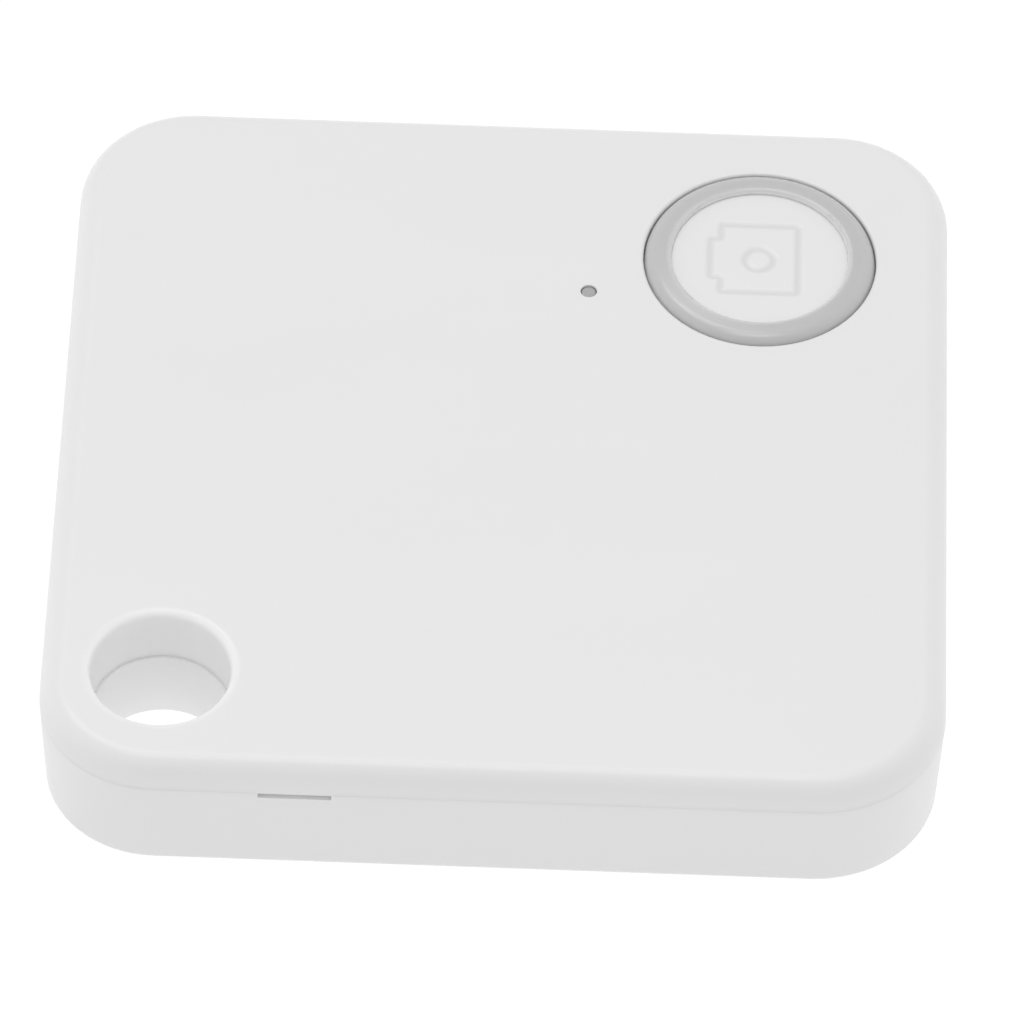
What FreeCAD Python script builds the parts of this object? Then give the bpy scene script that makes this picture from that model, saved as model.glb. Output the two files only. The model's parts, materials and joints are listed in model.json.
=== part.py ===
"""Square Bluetooth tracker tag, in millimetres.

The origin is at the middle of the underside: +X runs right, +Y away from the user and +Z up.
A deep tray carries the circuit board, the coin cell and the electronics. A shallow cover with
the button and the light pipe closes it from above. Each function below returns one sub-part.
"""

import FreeCAD, Part
import math
import os

Vector = FreeCAD.Vector
UP = Vector(0, 0, 1)
CLEAR = 0.02  # gap between faces that meet without being one piece

# Case
CASE_WIDTH = 37.0
CASE_HEIGHT = 6.0
CORNER_RADIUS = 4.85
CORNER_AT = CASE_WIDTH / 2 - CORNER_RADIUS  # X and Y of the corner arcs' centres
NEAR_RIGHT_EXTRA = 0.5  # the near right corner's radius is this much larger
SEAM_Z = 4.65  # top edge of the tray
SEAM_GAP = 0.004
CROWN_IN = 0.95  # the cover's elliptical edge: how far in it reaches along the top face
TRAY_DRAFT = 0.2  # the tray is this much smaller all round at its foot
FOOT_RADIUS = 0.3
SIDE_WALL = 1.2
FLOOR = 0.8
ROOF_Z = CASE_HEIGHT - 0.8  # underside of the cover's top wall
FAR = 20.0  # a cutter's reach beyond the case

# Cover's lip, which plugs into the tray, and its snap beads
LIP_THICKNESS = 0.74
LIP_CLEAR = 0.06
LIP_BOTTOM = 3.5
BEAD_LENGTH = 4.0
BEAD_RADIUS = 0.3
BEAD_PROUD = 0.18
BEAD_Z = 3.9
BEAD_CLEAR = 0.08
BEADS = ((-1.0, 8.0), (-6.5, 6.5), (-6.5, 6.5), (-6.5, 6.5))  # along the near, right, far and left sides
PRY_CENTRE_X = -7.87
PRY_WIDTH = 2.98
PRY_HEIGHT = 0.28
PRY_DEPTH = 0.2

# Keyring hole in the near left corner
KEY_AT = (-13.58, -13.15)
KEY_RADIUS = 2.75
KEY_COVER_RADIUS = 2.87
KEY_LIP = 0.36  # rounded edge at the top of the hole
KEY_FOOT_LIP = 0.06
KEY_SEAM_Z = 3.35
KEY_SEAM_BREAK = 0.012  # broken edge of the tray's bore at the seam
KEY_TUBE_RADIUS = 3.45  # outside of the cover's tube
KEY_COLLAR = (3.5, 4.0, 4.2)  # the tray's collar round that tube: inner radius, outer radius, top

# Button
BUTTON_AT = (10.5, 10.65)
OPENING_RADIUS = 4.93
OPENING_LIP = 0.12  # rounding of the opening's upper edge
RING_RADIUS = 4.92
RING_INNER = 3.745
RING_CREST_Z = CASE_HEIGHT + 0.17
RING_INNER_Z = CASE_HEIGHT + 0.25
RING_ROUND = 0.62
RING_INNER_ROUND = 0.16
FLANGE_RADIUS = 5.6
FLANGE_TOP = ROOF_Z - 0.05
FLANGE_BOTTOM = FLANGE_TOP - 0.5
TAB_WIDTH = 1.2
TAB_REACH = 6.2
GUIDE = (5.9, 6.5, 4.35)  # guide wall round the flange: inner radius, outer radius, bottom
DISC_RADIUS = 3.7
DISC_FLANGE_RADIUS = 4.24
DISC_SHOULDER_Z = 5.25
STEM_RADIUS = 1.4

# Camera pictogram cut into the disc, its hump towards -X, given by its centre lines
ICON_LINE = 0.3
ICON_DEPTH = 0.06
ICON_BODY = (-1.65, 1.62, 1.92)  # left, right and half height
ICON_HUMP = (-2.1, 1.1)  # left and half height
ICON_LENS_AT = (-0.03, -0.05)
ICON_LENS_RADIUS = 0.62

# Status light
LED_AT = (3.31, 8.47)
LED_HOLE_RADIUS = 0.35
PIPE_RADIUS = 0.31
PIPE_SUNK = 0.06
PIPE_HEAD = (0.6, 4.4, 5.1)  # radius, bottom, top
PIPE_BOTTOM = 2.5
BOSS_RADIUS = 1.1
BOSS_BOTTOM = 4.2

# Circuit board
BOARD_BOTTOM = 1.0
BOARD_TOP = 1.6
BOARD_INSET = 0.4  # gap to the tray's wall
BOARD_NOTCH = 4.5  # radius cleared round the keyring tube
PEGS = ((-15.2, -6.0), (6.0, -15.2), (15.3, 5.4), (5.0, 15.3))
PEG_RADIUS = 0.7
PEG_SHOULDER = 1.3
PEG_HEAD = (1.15, 0.33)  # radius and height of the heat-staked head
PEG_HOLE = 0.75

# Coin cell, size 2032, held between ribs of the tray
CELL_AT = (-2.0, -2.0)
CELL_RADIUS = 10.0
CELL_BOTTOM = 1.87
CELL_TOP = CELL_BOTTOM + 3.2
CELL_WALL = 0.25
CRIMP_RADIUS = 9.2
CAP_RADIUS = 8.75
RIB = (10.15, 10.95, 4.3)  # inner radius, outer radius, top
RIB_HALF_ANGLE = 14.0
RIB_ANGLES = (0.0, 120.0, 240.0)
POLARITY_ARM = 2.4
POLARITY_LINE = 0.5
POLARITY_DEPTH = 0.06

# Battery contacts
STRIP = 0.15
CONTACT_WIDTH = 2.4
CONTACT_FOOT = 1.7
CONTACT_HEIGHT = 2.5
CONTACT_BULGE = 0.35
ARM_WIDTH = 1.6
ARM_REACH = 6.0

# Tactile switch under the button
SWITCH_SIZE = 4.0
SWITCH_TOP = 2.86
SWITCH_WELL = (1.6, 2.0)  # radius, floor
PLATE = 0.15
PLUNGER_RADIUS = 0.95
PLUNGER_FLANGE = (1.3, 2.36, 2.84)  # radius, bottom, top
PLUNGER_TOP = 3.6
DOME_RADIUS = 1.45
DOME_RISE = 0.26
DOME_SHEET = 0.06

# Magnetic buzzer
BUZZER_AT = (12.2, -10.8)
BUZZER_SIZE = 7.5
BUZZER_BASE = 0.3
BUZZER_TOP = 4.1
BUZZER_CAVITY = 3.3
BUZZER_ROOF = 0.4
BUZZER_LEDGE = (3.0, 3.05)  # radius and height of the ledge under the diaphragm
BUZZER_PORT = 0.75

# Chips on the board: centre, then size in X, Y and Z
CHIP_AT = (-3.6, 12.9)
CHIP_SIZE = (5.0, 5.0, 0.85)
CHIP_PADS = 8  # along each side
CHIP_PITCH = 0.5
MAIN_CRYSTAL_AT = (1.0, 13.9)
MAIN_CRYSTAL_SIZE = (2.5, 2.0, 0.55)
CLOCK_CRYSTAL_AT = (0.6, 10.9)
CLOCK_CRYSTAL_SIZE = (3.2, 1.5, 0.8)
BULK_AT = (12.9, -3.2)
BULK_SIZE = (1.6, 3.2, 1.6)
TRANSISTOR_AT = (13.4, 1.2)
TRANSISTOR_SIZE = (2.9, 1.3, 1.0)
DIODE_AT = (10.4, 1.4)
DIODE_SIZE = (1.25, 1.7, 0.9)
INDUCTOR_AT = (-7.6, 13.2)
INDUCTOR_SIZE = (0.8, 1.6, 0.8)
LED_SIZE = (1.6, 0.8)
LED_BASE = 0.3
LED_LENS = (1.1, 0.8, 0.35)

# Small two-ended parts: centre and whether they lie along Y
SMALL_SIZE = (1.0, 0.5)
SMALL_END = 0.22
CAPACITOR_HEIGHT = 0.5
RESISTOR_HEIGHT = 0.35
CAPACITORS = (
    (-8.9, 11.9, True), (-8.9, 14.4, True), (-0.2, 15.6, False), (2.6, 15.6, False),
    (-6.2, 9.6, False), (3.4, 11.9, True), (10.3, -2.2, True), (10.3, -4.4, True),
    (15.4, -3.2, True), (-14.0, 2.6, True),
)
RESISTORS = (
    (14.6, 3.1, False), (10.4, 4.4, False), (5.6, 10.1, True), (12.6, 4.4, False),
    (15.6, -0.9, True), (-14.9, 2.6, True), (0.7, 8.9, False),
)

# Printed antenna, a meander in the far left corner
ANTENNA_LEFT = -15.9
ANTENNA_RIGHT = -10.2
ANTENNA_NEAR = 9.4
ANTENNA_LINE = 0.5
ANTENNA_STEP = 1.15
ANTENNA_TURNS = 5
COPPER = 0.05


def outline(*corners):
    """Face in the XZ plane through corners (x, z) or (x, z, rounding radius)."""
    points = [Vector(corner[0], 0, corner[1]) for corner in corners]
    edges = []
    runs = []
    for i, corner in enumerate(corners):
        here = points[i]
        if len(corner) == 2:
            runs.append((here, here))
            continue
        back = (points[i - 1] - here).normalize()
        on = (points[(i + 1) % len(points)] - here).normalize()
        half = back.getAngle(on) / 2
        reach = corner[2] / math.tan(half)
        inward = (back + on).normalize() * (corner[2] / math.sin(half) - corner[2])
        start = here + back * reach
        end = here + on * reach
        edges.append(Part.Arc(start, here + inward, end).toShape())
        runs.append((start, end))
    for i, run in enumerate(runs):
        following = runs[(i + 1) % len(runs)]
        if (following[0] - run[1]).Length > 1e-6:
            edges.append(Part.LineSegment(run[1], following[0]).toShape())
    return Part.Face(Part.Wire(Part.__sortEdges__(edges)))


def turned(face, at=(0, 0)):
    """The section turned all the way round a vertical line."""
    solid = face.revolve(Vector(), UP, 360)
    solid.translate(Vector(at[0], at[1], 0))
    return solid


def all_round(section, core=None):
    """The section carried round the case: quarter turns at the corners and straight runs between.

    Its x is measured outwards from a square through the corner arcs' centres. core gives the bottom
    and top of the block that fills that square, for a section that starts at x = 0.
    """
    extras = (0, 0, 0, NEAR_RIGHT_EXTRA)  # far right, far left, near left and near right
    pieces = []
    if core:
        middle = block((2 * CORNER_AT, 2 * CORNER_AT, core[1] - core[0]), (0, 0), core[0])
        near_right = [
            edge for edge in middle.Edges if upright(edge) and edge.CenterOfMass.x > 0 > edge.CenterOfMass.y
        ]
        pieces.append(middle.makeFillet(NEAR_RIGHT_EXTRA, near_right))
    for quarter, extra in enumerate(extras):
        corner = section.copy()
        corner.translate(Vector(extra, 0, 0))
        corner = corner.revolve(Vector(), UP, 90)
        corner.translate(Vector(CORNER_AT - extra, CORNER_AT - extra, 0))
        start = extras[quarter - 1] - CORNER_AT
        side = section.copy()
        side.translate(Vector(CORNER_AT, start, 0))
        side = side.extrude(Vector(0, CORNER_AT - extra - start, 0))
        for piece in (corner, side):
            piece.rotate(Vector(), UP, 90 * quarter)
            pieces.append(piece)
    return pieces[0].multiFuse(pieces[1:]).removeSplitter()


def slab(inset, bottom, top):
    """Rounded square plate, its sides this far inside the case's outline."""
    reach = CORNER_RADIUS - inset
    return all_round(outline((0, bottom), (reach, bottom), (reach, top), (0, top)), (bottom, top))


def cylinder(radius, bottom, top, at=(0, 0)):
    return Part.makeCylinder(radius, top - bottom, Vector(at[0], at[1], bottom))


def tube(inner, outer, bottom, top, at=(0, 0)):
    return cylinder(outer, bottom, top, at).cut(cylinder(inner, bottom - 1, top + 1, at))


def block(size, at, bottom):
    """Box of size (x, y, z) centred on at."""
    box = Part.makeBox(*size)
    box.translate(Vector(at[0] - size[0] / 2, at[1] - size[1] / 2, bottom))
    return box


def sector(inner, outer, bottom, top, middle_deg, half_deg, at):
    """Part of a tube, from middle - half to middle + half degrees."""
    base = Vector(at[0], at[1], bottom)
    solid = Part.makeCylinder(outer, top - bottom, base, UP, 2 * half_deg)
    solid = solid.cut(cylinder(inner, bottom - 1, top + 1, at))
    solid.rotate(base, UP, middle_deg - half_deg)
    return solid


def softened(solid, radius, keep=lambda edge: True):
    """The solid with the chosen edges rounded."""
    return solid.makeFillet(radius, [edge for edge in solid.Edges if keep(edge)])


def upright(edge):
    """Whether an edge runs straight up."""
    ends = [vertex.Point for vertex in edge.Vertexes]
    return len(ends) == 2 and (ends[0] - ends[1]).cross(UP).Length < 1e-6


def group(solids):
    """Separate solids that share one node."""
    return Part.makeCompound(solids)


def snap_bars(radius, sunk, length, bottom=None):
    """Bars along the lip's outer face, one at each snap bead.

    Round bars of this radius, sunk so far into the face, or plain slots down to bottom.
    """
    bars = []
    lip_face = CASE_WIDTH / 2 - SIDE_WALL - LIP_CLEAR
    for quarter, offsets in enumerate(BEADS):
        for offset in offsets:
            start = Vector(offset - length / 2, -lip_face + sunk, BEAD_Z)
            if bottom is None:
                bar = Part.makeCylinder(radius, length, start, Vector(1, 0, 0))
            else:
                bar = Part.makeBox(length, radius, SEAM_Z + 1 - bottom)
                bar.translate(Vector(start.x, start.y - radius, bottom))
            bar.rotate(Vector(), UP, 90 * quarter)
            bars.append(bar)
    return bars


def peg(at):
    """Heat-staked post: a shoulder under the board, a pin through it and a domed head above it."""
    shoulder_top = BOARD_BOTTOM - CLEAR
    head_bottom = BOARD_TOP + CLEAR
    head_top = head_bottom + PEG_HEAD[1]
    return turned(
        outline(
            (0, FLOOR / 2),
            (PEG_SHOULDER, FLOOR / 2),
            (PEG_SHOULDER, shoulder_top),
            (PEG_RADIUS, shoulder_top),
            (PEG_RADIUS, head_bottom),
            (PEG_HEAD[0], head_bottom),
            (PEG_HEAD[0], head_top, 0.25),
            (0, head_top),
        ),
        at,
    )


def bottom_shell():
    foot = CORNER_RADIUS - TRAY_DRAFT
    outside = all_round(
        outline(
            (0, 0),
            (foot, 0, FOOT_RADIUS),
            (CORNER_RADIUS, SEAM_Z),
            (0, SEAM_Z),
        ),
        (0, SEAM_Z),
    )
    inner = CORNER_RADIUS - SIDE_WALL
    open_top = SEAM_Z + 1
    cavity = all_round(
        outline((0, FLOOR), (inner, FLOOR, 0.4), (inner, open_top), (0, open_top)), (FLOOR, open_top)
    )
    shell = outside.cut(cavity)
    corner_web = slab(SIDE_WALL / 2, FLOOR / 2, KEY_SEAM_Z).common(
        block((FAR, FAR, FAR), (KEY_AT[0] - FAR / 2, KEY_AT[1] - FAR / 2), 0)
    )
    additions = [
        corner_web,
        cylinder(KEY_COLLAR[1], FLOOR / 2, KEY_SEAM_Z, KEY_AT),
        tube(KEY_COLLAR[0], KEY_COLLAR[1], FLOOR / 2, KEY_COLLAR[2], KEY_AT),
    ]
    additions += [peg(at) for at in PEGS]
    additions += [
        sector(RIB[0], RIB[1], FLOOR / 2, RIB[2], angle, RIB_HALF_ANGLE, CELL_AT) for angle in RIB_ANGLES
    ]
    shell = shell.multiFuse(additions)
    bore = turned(
        outline(
            (0, -1),
            (KEY_RADIUS + KEY_FOOT_LIP + 1, -1),
            (KEY_RADIUS + KEY_FOOT_LIP, 0),
            (KEY_RADIUS, KEY_FOOT_LIP),
            (KEY_RADIUS, KEY_SEAM_Z - KEY_SEAM_BREAK),
            (KEY_RADIUS + KEY_SEAM_BREAK, KEY_SEAM_Z),
            (KEY_RADIUS + KEY_SEAM_BREAK, SEAM_Z + 1),
            (0, SEAM_Z + 1),
        ),
        KEY_AT,
    )
    pry_slot = Part.makeBox(PRY_WIDTH, 2 * PRY_DEPTH, 1)
    pry_slot.translate(
        Vector(PRY_CENTRE_X - PRY_WIDTH / 2, -CASE_WIDTH / 2 - PRY_DEPTH, SEAM_Z - PRY_HEIGHT)
    )
    sleeve_room = cylinder(KEY_COLLAR[0], KEY_SEAM_Z, SEAM_Z + 1, KEY_AT)
    slots = snap_bars(LIP_CLEAR + BEAD_PROUD + BEAD_CLEAR, 0, BEAD_LENGTH + 0.4, BEAD_Z - 0.5)
    return shell.cut(Part.makeCompound([bore, pry_slot, sleeve_room])).cut(group(slots)).removeSplitter()


def cover_outside():
    """The cover's outer body, with an elliptical crown from the seam up to the top face."""
    bottom = SEAM_Z + SEAM_GAP
    centre = Vector(CORNER_RADIUS - CROWN_IN, 0, bottom)
    top = centre + Vector(0, 0, CASE_HEIGHT - bottom)
    side = centre + Vector(CROWN_IN, 0, 0)
    crown = Part.Arc(Part.Ellipse(top, side, centre), 0, math.pi / 2).toShape()
    corners = [side, Vector(0, 0, bottom), Vector(0, 0, CASE_HEIGHT), top]
    edges = [Part.LineSegment(a, b).toShape() for a, b in zip(corners, corners[1:])]
    section = Part.Face(Part.Wire(Part.__sortEdges__(edges + [crown])))
    return all_round(section, (bottom, CASE_HEIGHT))


def lipped_hole(radius, lip, bottom, at):
    """Cutter for a round hole through the cover's top, with a rounded upper edge."""
    mouth = radius + lip
    edge = CASE_HEIGHT - lip
    corners = [
        Vector(radius, 0, edge),
        Vector(radius, 0, bottom),
        Vector(0, 0, bottom),
        Vector(0, 0, FAR),
        Vector(mouth, 0, FAR),
        Vector(mouth, 0, CASE_HEIGHT),
    ]
    half = math.sin(math.pi / 4)
    middle = Vector(mouth - lip * half, 0, edge + lip * half)
    arc = Part.Arc(corners[-1], middle, corners[0]).toShape()
    edges = [Part.LineSegment(a, b).toShape() for a, b in zip(corners, corners[1:])]
    return turned(Part.Face(Part.Wire(Part.__sortEdges__(edges + [arc]))), at)


def top_shell():
    lip_outer = CORNER_RADIUS - SIDE_WALL - LIP_CLEAR
    lip_inner = lip_outer - LIP_THICKNESS
    lip = all_round(
        outline(
            (lip_inner, LIP_BOTTOM),
            (lip_outer - 0.2, LIP_BOTTOM),
            (lip_outer, LIP_BOTTOM + 0.2),
            (lip_outer, SEAM_Z + 0.1),
            (lip_inner, SEAM_Z + 0.1),
        )
    )
    beads = snap_bars(BEAD_RADIUS, BEAD_RADIUS - BEAD_PROUD, BEAD_LENGTH)
    cavity = all_round(
        outline((0, 0), (lip_inner, 0), (lip_inner, ROOF_Z, 0.3), (0, ROOF_Z)), (0, ROOF_Z)
    )
    shell = cover_outside().multiFuse([lip] + beads).cut(cavity)
    shell = shell.cut(cylinder(KEY_COLLAR[1] + 0.15, 0, SEAM_Z + SEAM_GAP, KEY_AT))
    guide = tube(GUIDE[0], GUIDE[1], GUIDE[2], ROOF_Z + 0.1, BUTTON_AT)
    for angle in (180, 270):
        notch = block((2 * FAR, TAB_WIDTH + 0.3, ROOF_Z - GUIDE[2]), (FAR, 0), GUIDE[2])
        notch.rotate(Vector(), UP, angle)
        notch.translate(Vector(BUTTON_AT[0], BUTTON_AT[1], 0))
        guide = guide.cut(notch)
    inside_lip = CASE_WIDTH - 2 * (SIDE_WALL + LIP_CLEAR + LIP_THICKNESS / 2)
    guide = guide.common(block((inside_lip, inside_lip, FAR), (0, 0), 0))
    shell = shell.multiFuse(
        [
            guide,
            cylinder(KEY_TUBE_RADIUS, KEY_SEAM_Z + SEAM_GAP, ROOF_Z + 0.1, KEY_AT),
            cylinder(BOSS_RADIUS, BOSS_BOTTOM, ROOF_Z + 0.1, LED_AT),
        ]
    )
    holes = [
        lipped_hole(KEY_COVER_RADIUS, KEY_LIP, 0, KEY_AT),
        lipped_hole(OPENING_RADIUS, OPENING_LIP, ROOF_Z - 0.1, BUTTON_AT),
        cylinder(LED_HOLE_RADIUS, 0, FAR, LED_AT),
        cylinder(PIPE_HEAD[0] + CLEAR, 0, PIPE_HEAD[2] + CLEAR, LED_AT),
    ]
    return shell.cut(group(holes)).removeSplitter()


def button_ring():
    ring = turned(
        outline(
            (RING_INNER, DISC_SHOULDER_Z),
            (RING_INNER, RING_INNER_Z, RING_INNER_ROUND),
            (RING_RADIUS, RING_CREST_Z, RING_ROUND),
            (RING_RADIUS, FLANGE_TOP),
            (FLANGE_RADIUS, FLANGE_TOP, 0.1),
            (FLANGE_RADIUS, FLANGE_BOTTOM),
            (DISC_FLANGE_RADIUS + CLEAR, FLANGE_BOTTOM),
            (DISC_FLANGE_RADIUS + CLEAR, DISC_SHOULDER_Z),
        ),
        BUTTON_AT,
    )
    reach = TAB_REACH - FLANGE_RADIUS + 0.2
    middle = TAB_REACH - reach / 2
    height = FLANGE_TOP - FLANGE_BOTTOM
    tabs = [
        block((reach, TAB_WIDTH, height), (BUTTON_AT[0] - middle, BUTTON_AT[1]), FLANGE_BOTTOM),
        block((TAB_WIDTH, reach, height), (BUTTON_AT[0], BUTTON_AT[1] - middle), FLANGE_BOTTOM),
    ]
    return ring.multiFuse(tabs).removeSplitter()


def icon_lines():
    """The pictogram's lines as bars that reach down to the icon's floor."""
    left, right, half = ICON_BODY
    hump, hump_half = ICON_HUMP
    path = [
        (left, hump_half), (left, half), (right, half), (right, -half), (left, -half),
        (left, -hump_half), (hump, -hump_half), (hump, hump_half), (left, hump_half),
    ]
    floor = CASE_HEIGHT - ICON_DEPTH
    bars = []
    for start, end in zip(path, path[1:]):
        size = [abs(end[i] - start[i]) + ICON_LINE for i in range(2)]
        middle = [(end[i] + start[i]) / 2 + BUTTON_AT[i] for i in range(2)]
        bars.append(block((size[0], size[1], 1), middle, floor))
    lens_at = (BUTTON_AT[0] + ICON_LENS_AT[0], BUTTON_AT[1] + ICON_LENS_AT[1])
    inner = ICON_LENS_RADIUS - ICON_LINE / 2
    bars.append(tube(inner, inner + ICON_LINE, floor, CASE_HEIGHT + 1, lens_at))
    return bars


def button_disc():
    shoulder = DISC_SHOULDER_Z - CLEAR
    disc = turned(
        outline(
            (0, CASE_HEIGHT),
            (DISC_RADIUS, CASE_HEIGHT, 0.08),
            (DISC_RADIUS, shoulder),
            (DISC_FLANGE_RADIUS, shoulder),
            (DISC_FLANGE_RADIUS, FLANGE_BOTTOM),
            (STEM_RADIUS, FLANGE_BOTTOM, 0.2),
            (STEM_RADIUS, PLUNGER_TOP + 0.03, 0.1),
            (0, PLUNGER_TOP + 0.03),
        ),
        BUTTON_AT,
    )
    return disc.cut(group(icon_lines())).removeSplitter()


def led_light_pipe():
    radius, bottom, top = PIPE_HEAD
    tip = CASE_HEIGHT - PIPE_SUNK
    return turned(
        outline(
            (0, PIPE_BOTTOM),
            (PIPE_RADIUS, PIPE_BOTTOM),
            (PIPE_RADIUS, bottom),
            (radius, bottom),
            (radius, top),
            (PIPE_RADIUS, top),
            (PIPE_RADIUS, tip, 0.07),
            (0, tip),
        ),
        LED_AT,
    )


def circuit_board():
    board = slab(SIDE_WALL + BOARD_INSET, BOARD_BOTTOM, BOARD_TOP)
    holes = [cylinder(BOARD_NOTCH, 0, FAR, KEY_AT)]
    holes += [cylinder(PEG_HOLE, 0, FAR, at) for at in PEGS]
    holes += [
        sector(RIB[0] - 0.15, RIB[1] + 0.15, 0, FAR, angle, RIB_HALF_ANGLE + 1, CELL_AT)
        for angle in RIB_ANGLES
    ]
    return board.cut(group(holes))


def antenna_trace():
    """Meander line of the printed antenna, with its feed at the near end."""
    width = ANTENNA_RIGHT - ANTENNA_LEFT
    middle = (ANTENNA_LEFT + ANTENNA_RIGHT) / 2
    bars = [block((1.2, ANTENNA_LINE, COPPER), (ANTENNA_RIGHT + 0.5, ANTENNA_NEAR), BOARD_TOP)]
    for turn in range(ANTENNA_TURNS + 1):
        y = ANTENNA_NEAR + turn * ANTENNA_STEP
        bars.append(block((width, ANTENNA_LINE, COPPER), (middle, y), BOARD_TOP))
        if turn < ANTENNA_TURNS:
            x = ANTENNA_RIGHT if turn % 2 else ANTENNA_LEFT
            inward = ANTENNA_LINE / 2 if x < middle else -ANTENNA_LINE / 2
            rise = ANTENNA_STEP + ANTENNA_LINE
            bars.append(
                block((ANTENNA_LINE, rise, COPPER), (x + inward, y + ANTENNA_STEP / 2), BOARD_TOP)
            )
    return bars[0].multiFuse(bars[1:]).removeSplitter()


def negative_contact():
    """Three-armed leaf spring that the cell's cap sits on."""
    leaf = cylinder(2.4, BOARD_TOP, BOARD_TOP + STRIP, CELL_AT)
    pieces = []
    for angle in (30, 150, 270):
        arm = block((ARM_REACH, ARM_WIDTH, STRIP), (ARM_REACH / 2, 0), BOARD_TOP)
        bump = cylinder(0.55, BOARD_TOP, CELL_BOTTOM - CLEAR, (ARM_REACH - 0.8, 0))
        for piece in (arm, bump):
            piece.rotate(Vector(), UP, angle)
            piece.translate(Vector(CELL_AT[0], CELL_AT[1], 0))
            pieces.append(piece)
    leaf = leaf.multiFuse(pieces).removeSplitter()
    top = CELL_BOTTOM - CLEAR
    return softened(leaf, 0.08, lambda edge: abs(edge.BoundBox.ZMin - top) < 1e-6)


def positive_contact(angle):
    """Upright strip that presses on the side of the cell: a foot on the board and a bulged tongue."""
    face = CELL_RADIUS + 0.03
    back = face + CONTACT_BULGE
    top = BOARD_TOP + CONTACT_HEIGHT
    strip = outline(
        (back + CONTACT_FOOT, BOARD_TOP),
        (back + CONTACT_FOOT, BOARD_TOP + STRIP),
        (back + STRIP, BOARD_TOP + STRIP, 0.1),
        (back + STRIP, BOARD_TOP + 0.9, 0.4),
        (face + STRIP, BOARD_TOP + 1.6, 0.4),
        (back + STRIP, top),
        (back, top),
        (face, BOARD_TOP + 1.6, 0.55),
        (back, BOARD_TOP + 0.9, 0.25),
        (back, BOARD_TOP),
    )
    strip.translate(Vector(0, -CONTACT_WIDTH / 2, 0))
    solid = strip.extrude(Vector(0, CONTACT_WIDTH, 0))
    solid.rotate(Vector(), UP, angle)
    solid.translate(Vector(CELL_AT[0], CELL_AT[1], 0))
    return solid


def battery_can():
    """Positive can, closed at the top and crimped in at the bottom, with a plus sign pressed in."""
    inside = CELL_RADIUS - CELL_WALL
    crimp = CELL_BOTTOM + 0.08
    can = turned(
        outline(
            (0, CELL_TOP),
            (CELL_RADIUS, CELL_TOP, 0.3),
            (CELL_RADIUS, crimp, 0.4),
            (CRIMP_RADIUS, crimp),
            (CRIMP_RADIUS, crimp + CELL_WALL),
            (inside, crimp + CELL_WALL),
            (inside, CELL_TOP - CELL_WALL),
            (0, CELL_TOP - CELL_WALL),
        ),
        CELL_AT,
    )
    sign_at = (CELL_AT[0], CELL_AT[1] + CELL_RADIUS * 0.6)
    floor = CELL_TOP - POLARITY_DEPTH
    plus = [
        block((POLARITY_ARM, POLARITY_LINE, 1), sign_at, floor),
        block((POLARITY_LINE, POLARITY_ARM, 1), sign_at, floor),
    ]
    return can.cut(plus[0].fuse(plus[1])).removeSplitter()


def battery_gasket():
    crimp = CELL_BOTTOM + 0.08
    inside = CELL_RADIUS - CELL_WALL
    return turned(
        outline(
            (CAP_RADIUS + 0.01, crimp + 0.03),
            (CRIMP_RADIUS - 0.01, crimp + 0.03),
            (CRIMP_RADIUS - 0.01, crimp + CELL_WALL + 0.01),
            (inside - CLEAR, crimp + CELL_WALL + 0.01),
            (inside - CLEAR, CELL_TOP - 1.1),
            (CAP_RADIUS + 0.01, CELL_TOP - 1.1),
        ),
        CELL_AT,
    )


def battery_cap():
    """Negative cap: a shallow cup, open upwards inside the can."""
    rim = CELL_TOP - 1.3
    return turned(
        outline(
            (0, CELL_BOTTOM),
            (CAP_RADIUS, CELL_BOTTOM, 0.25),
            (CAP_RADIUS, rim),
            (CAP_RADIUS - CELL_WALL, rim),
            (CAP_RADIUS - CELL_WALL, CELL_BOTTOM + CELL_WALL),
            (0, CELL_BOTTOM + CELL_WALL),
        ),
        CELL_AT,
    )


def cell_layers():
    """Lithium anode, separator and cathode pellet, from the cap up to the can."""
    radius = CAP_RADIUS - CELL_WALL - 0.1
    levels = (CELL_BOTTOM + CELL_WALL + CLEAR, 2.75, 2.88, CELL_TOP - CELL_WALL - CLEAR)
    return {
        "battery_anode": cylinder(radius, levels[0], levels[1], CELL_AT),
        "battery_separator": cylinder(radius + 0.05, levels[1] + CLEAR, levels[2] - CLEAR, CELL_AT),
        "battery_cathode": cylinder(radius - 0.1, levels[2], levels[3], CELL_AT),
    }


def switch_base():
    body = block((SWITCH_SIZE, SWITCH_SIZE, SWITCH_TOP - BOARD_TOP), BUTTON_AT, BOARD_TOP)
    body = softened(body, 0.3, upright)
    return body.cut(cylinder(SWITCH_WELL[0], SWITCH_WELL[1], FAR, BUTTON_AT))


def switch_dome():
    """Snap dome: a thin spherical cap standing in the base's well."""
    bottom = SWITCH_WELL[1] + CLEAR
    ball = (DOME_RADIUS**2 + DOME_RISE**2) / (2 * DOME_RISE)
    centre = Vector(BUTTON_AT[0], BUTTON_AT[1], bottom + DOME_RISE - ball)
    cap = Part.makeSphere(ball, centre).cut(Part.makeSphere(ball - DOME_SHEET, centre))
    return cap.common(cylinder(DOME_RADIUS + 1, bottom, FAR, BUTTON_AT))


def switch_plunger():
    radius, bottom, top = PLUNGER_FLANGE
    return turned(
        outline(
            (0, bottom),
            (radius, bottom),
            (radius, top),
            (PLUNGER_RADIUS, top),
            (PLUNGER_RADIUS, PLUNGER_TOP, 0.12),
            (0, PLUNGER_TOP),
        ),
        BUTTON_AT,
    )


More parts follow.
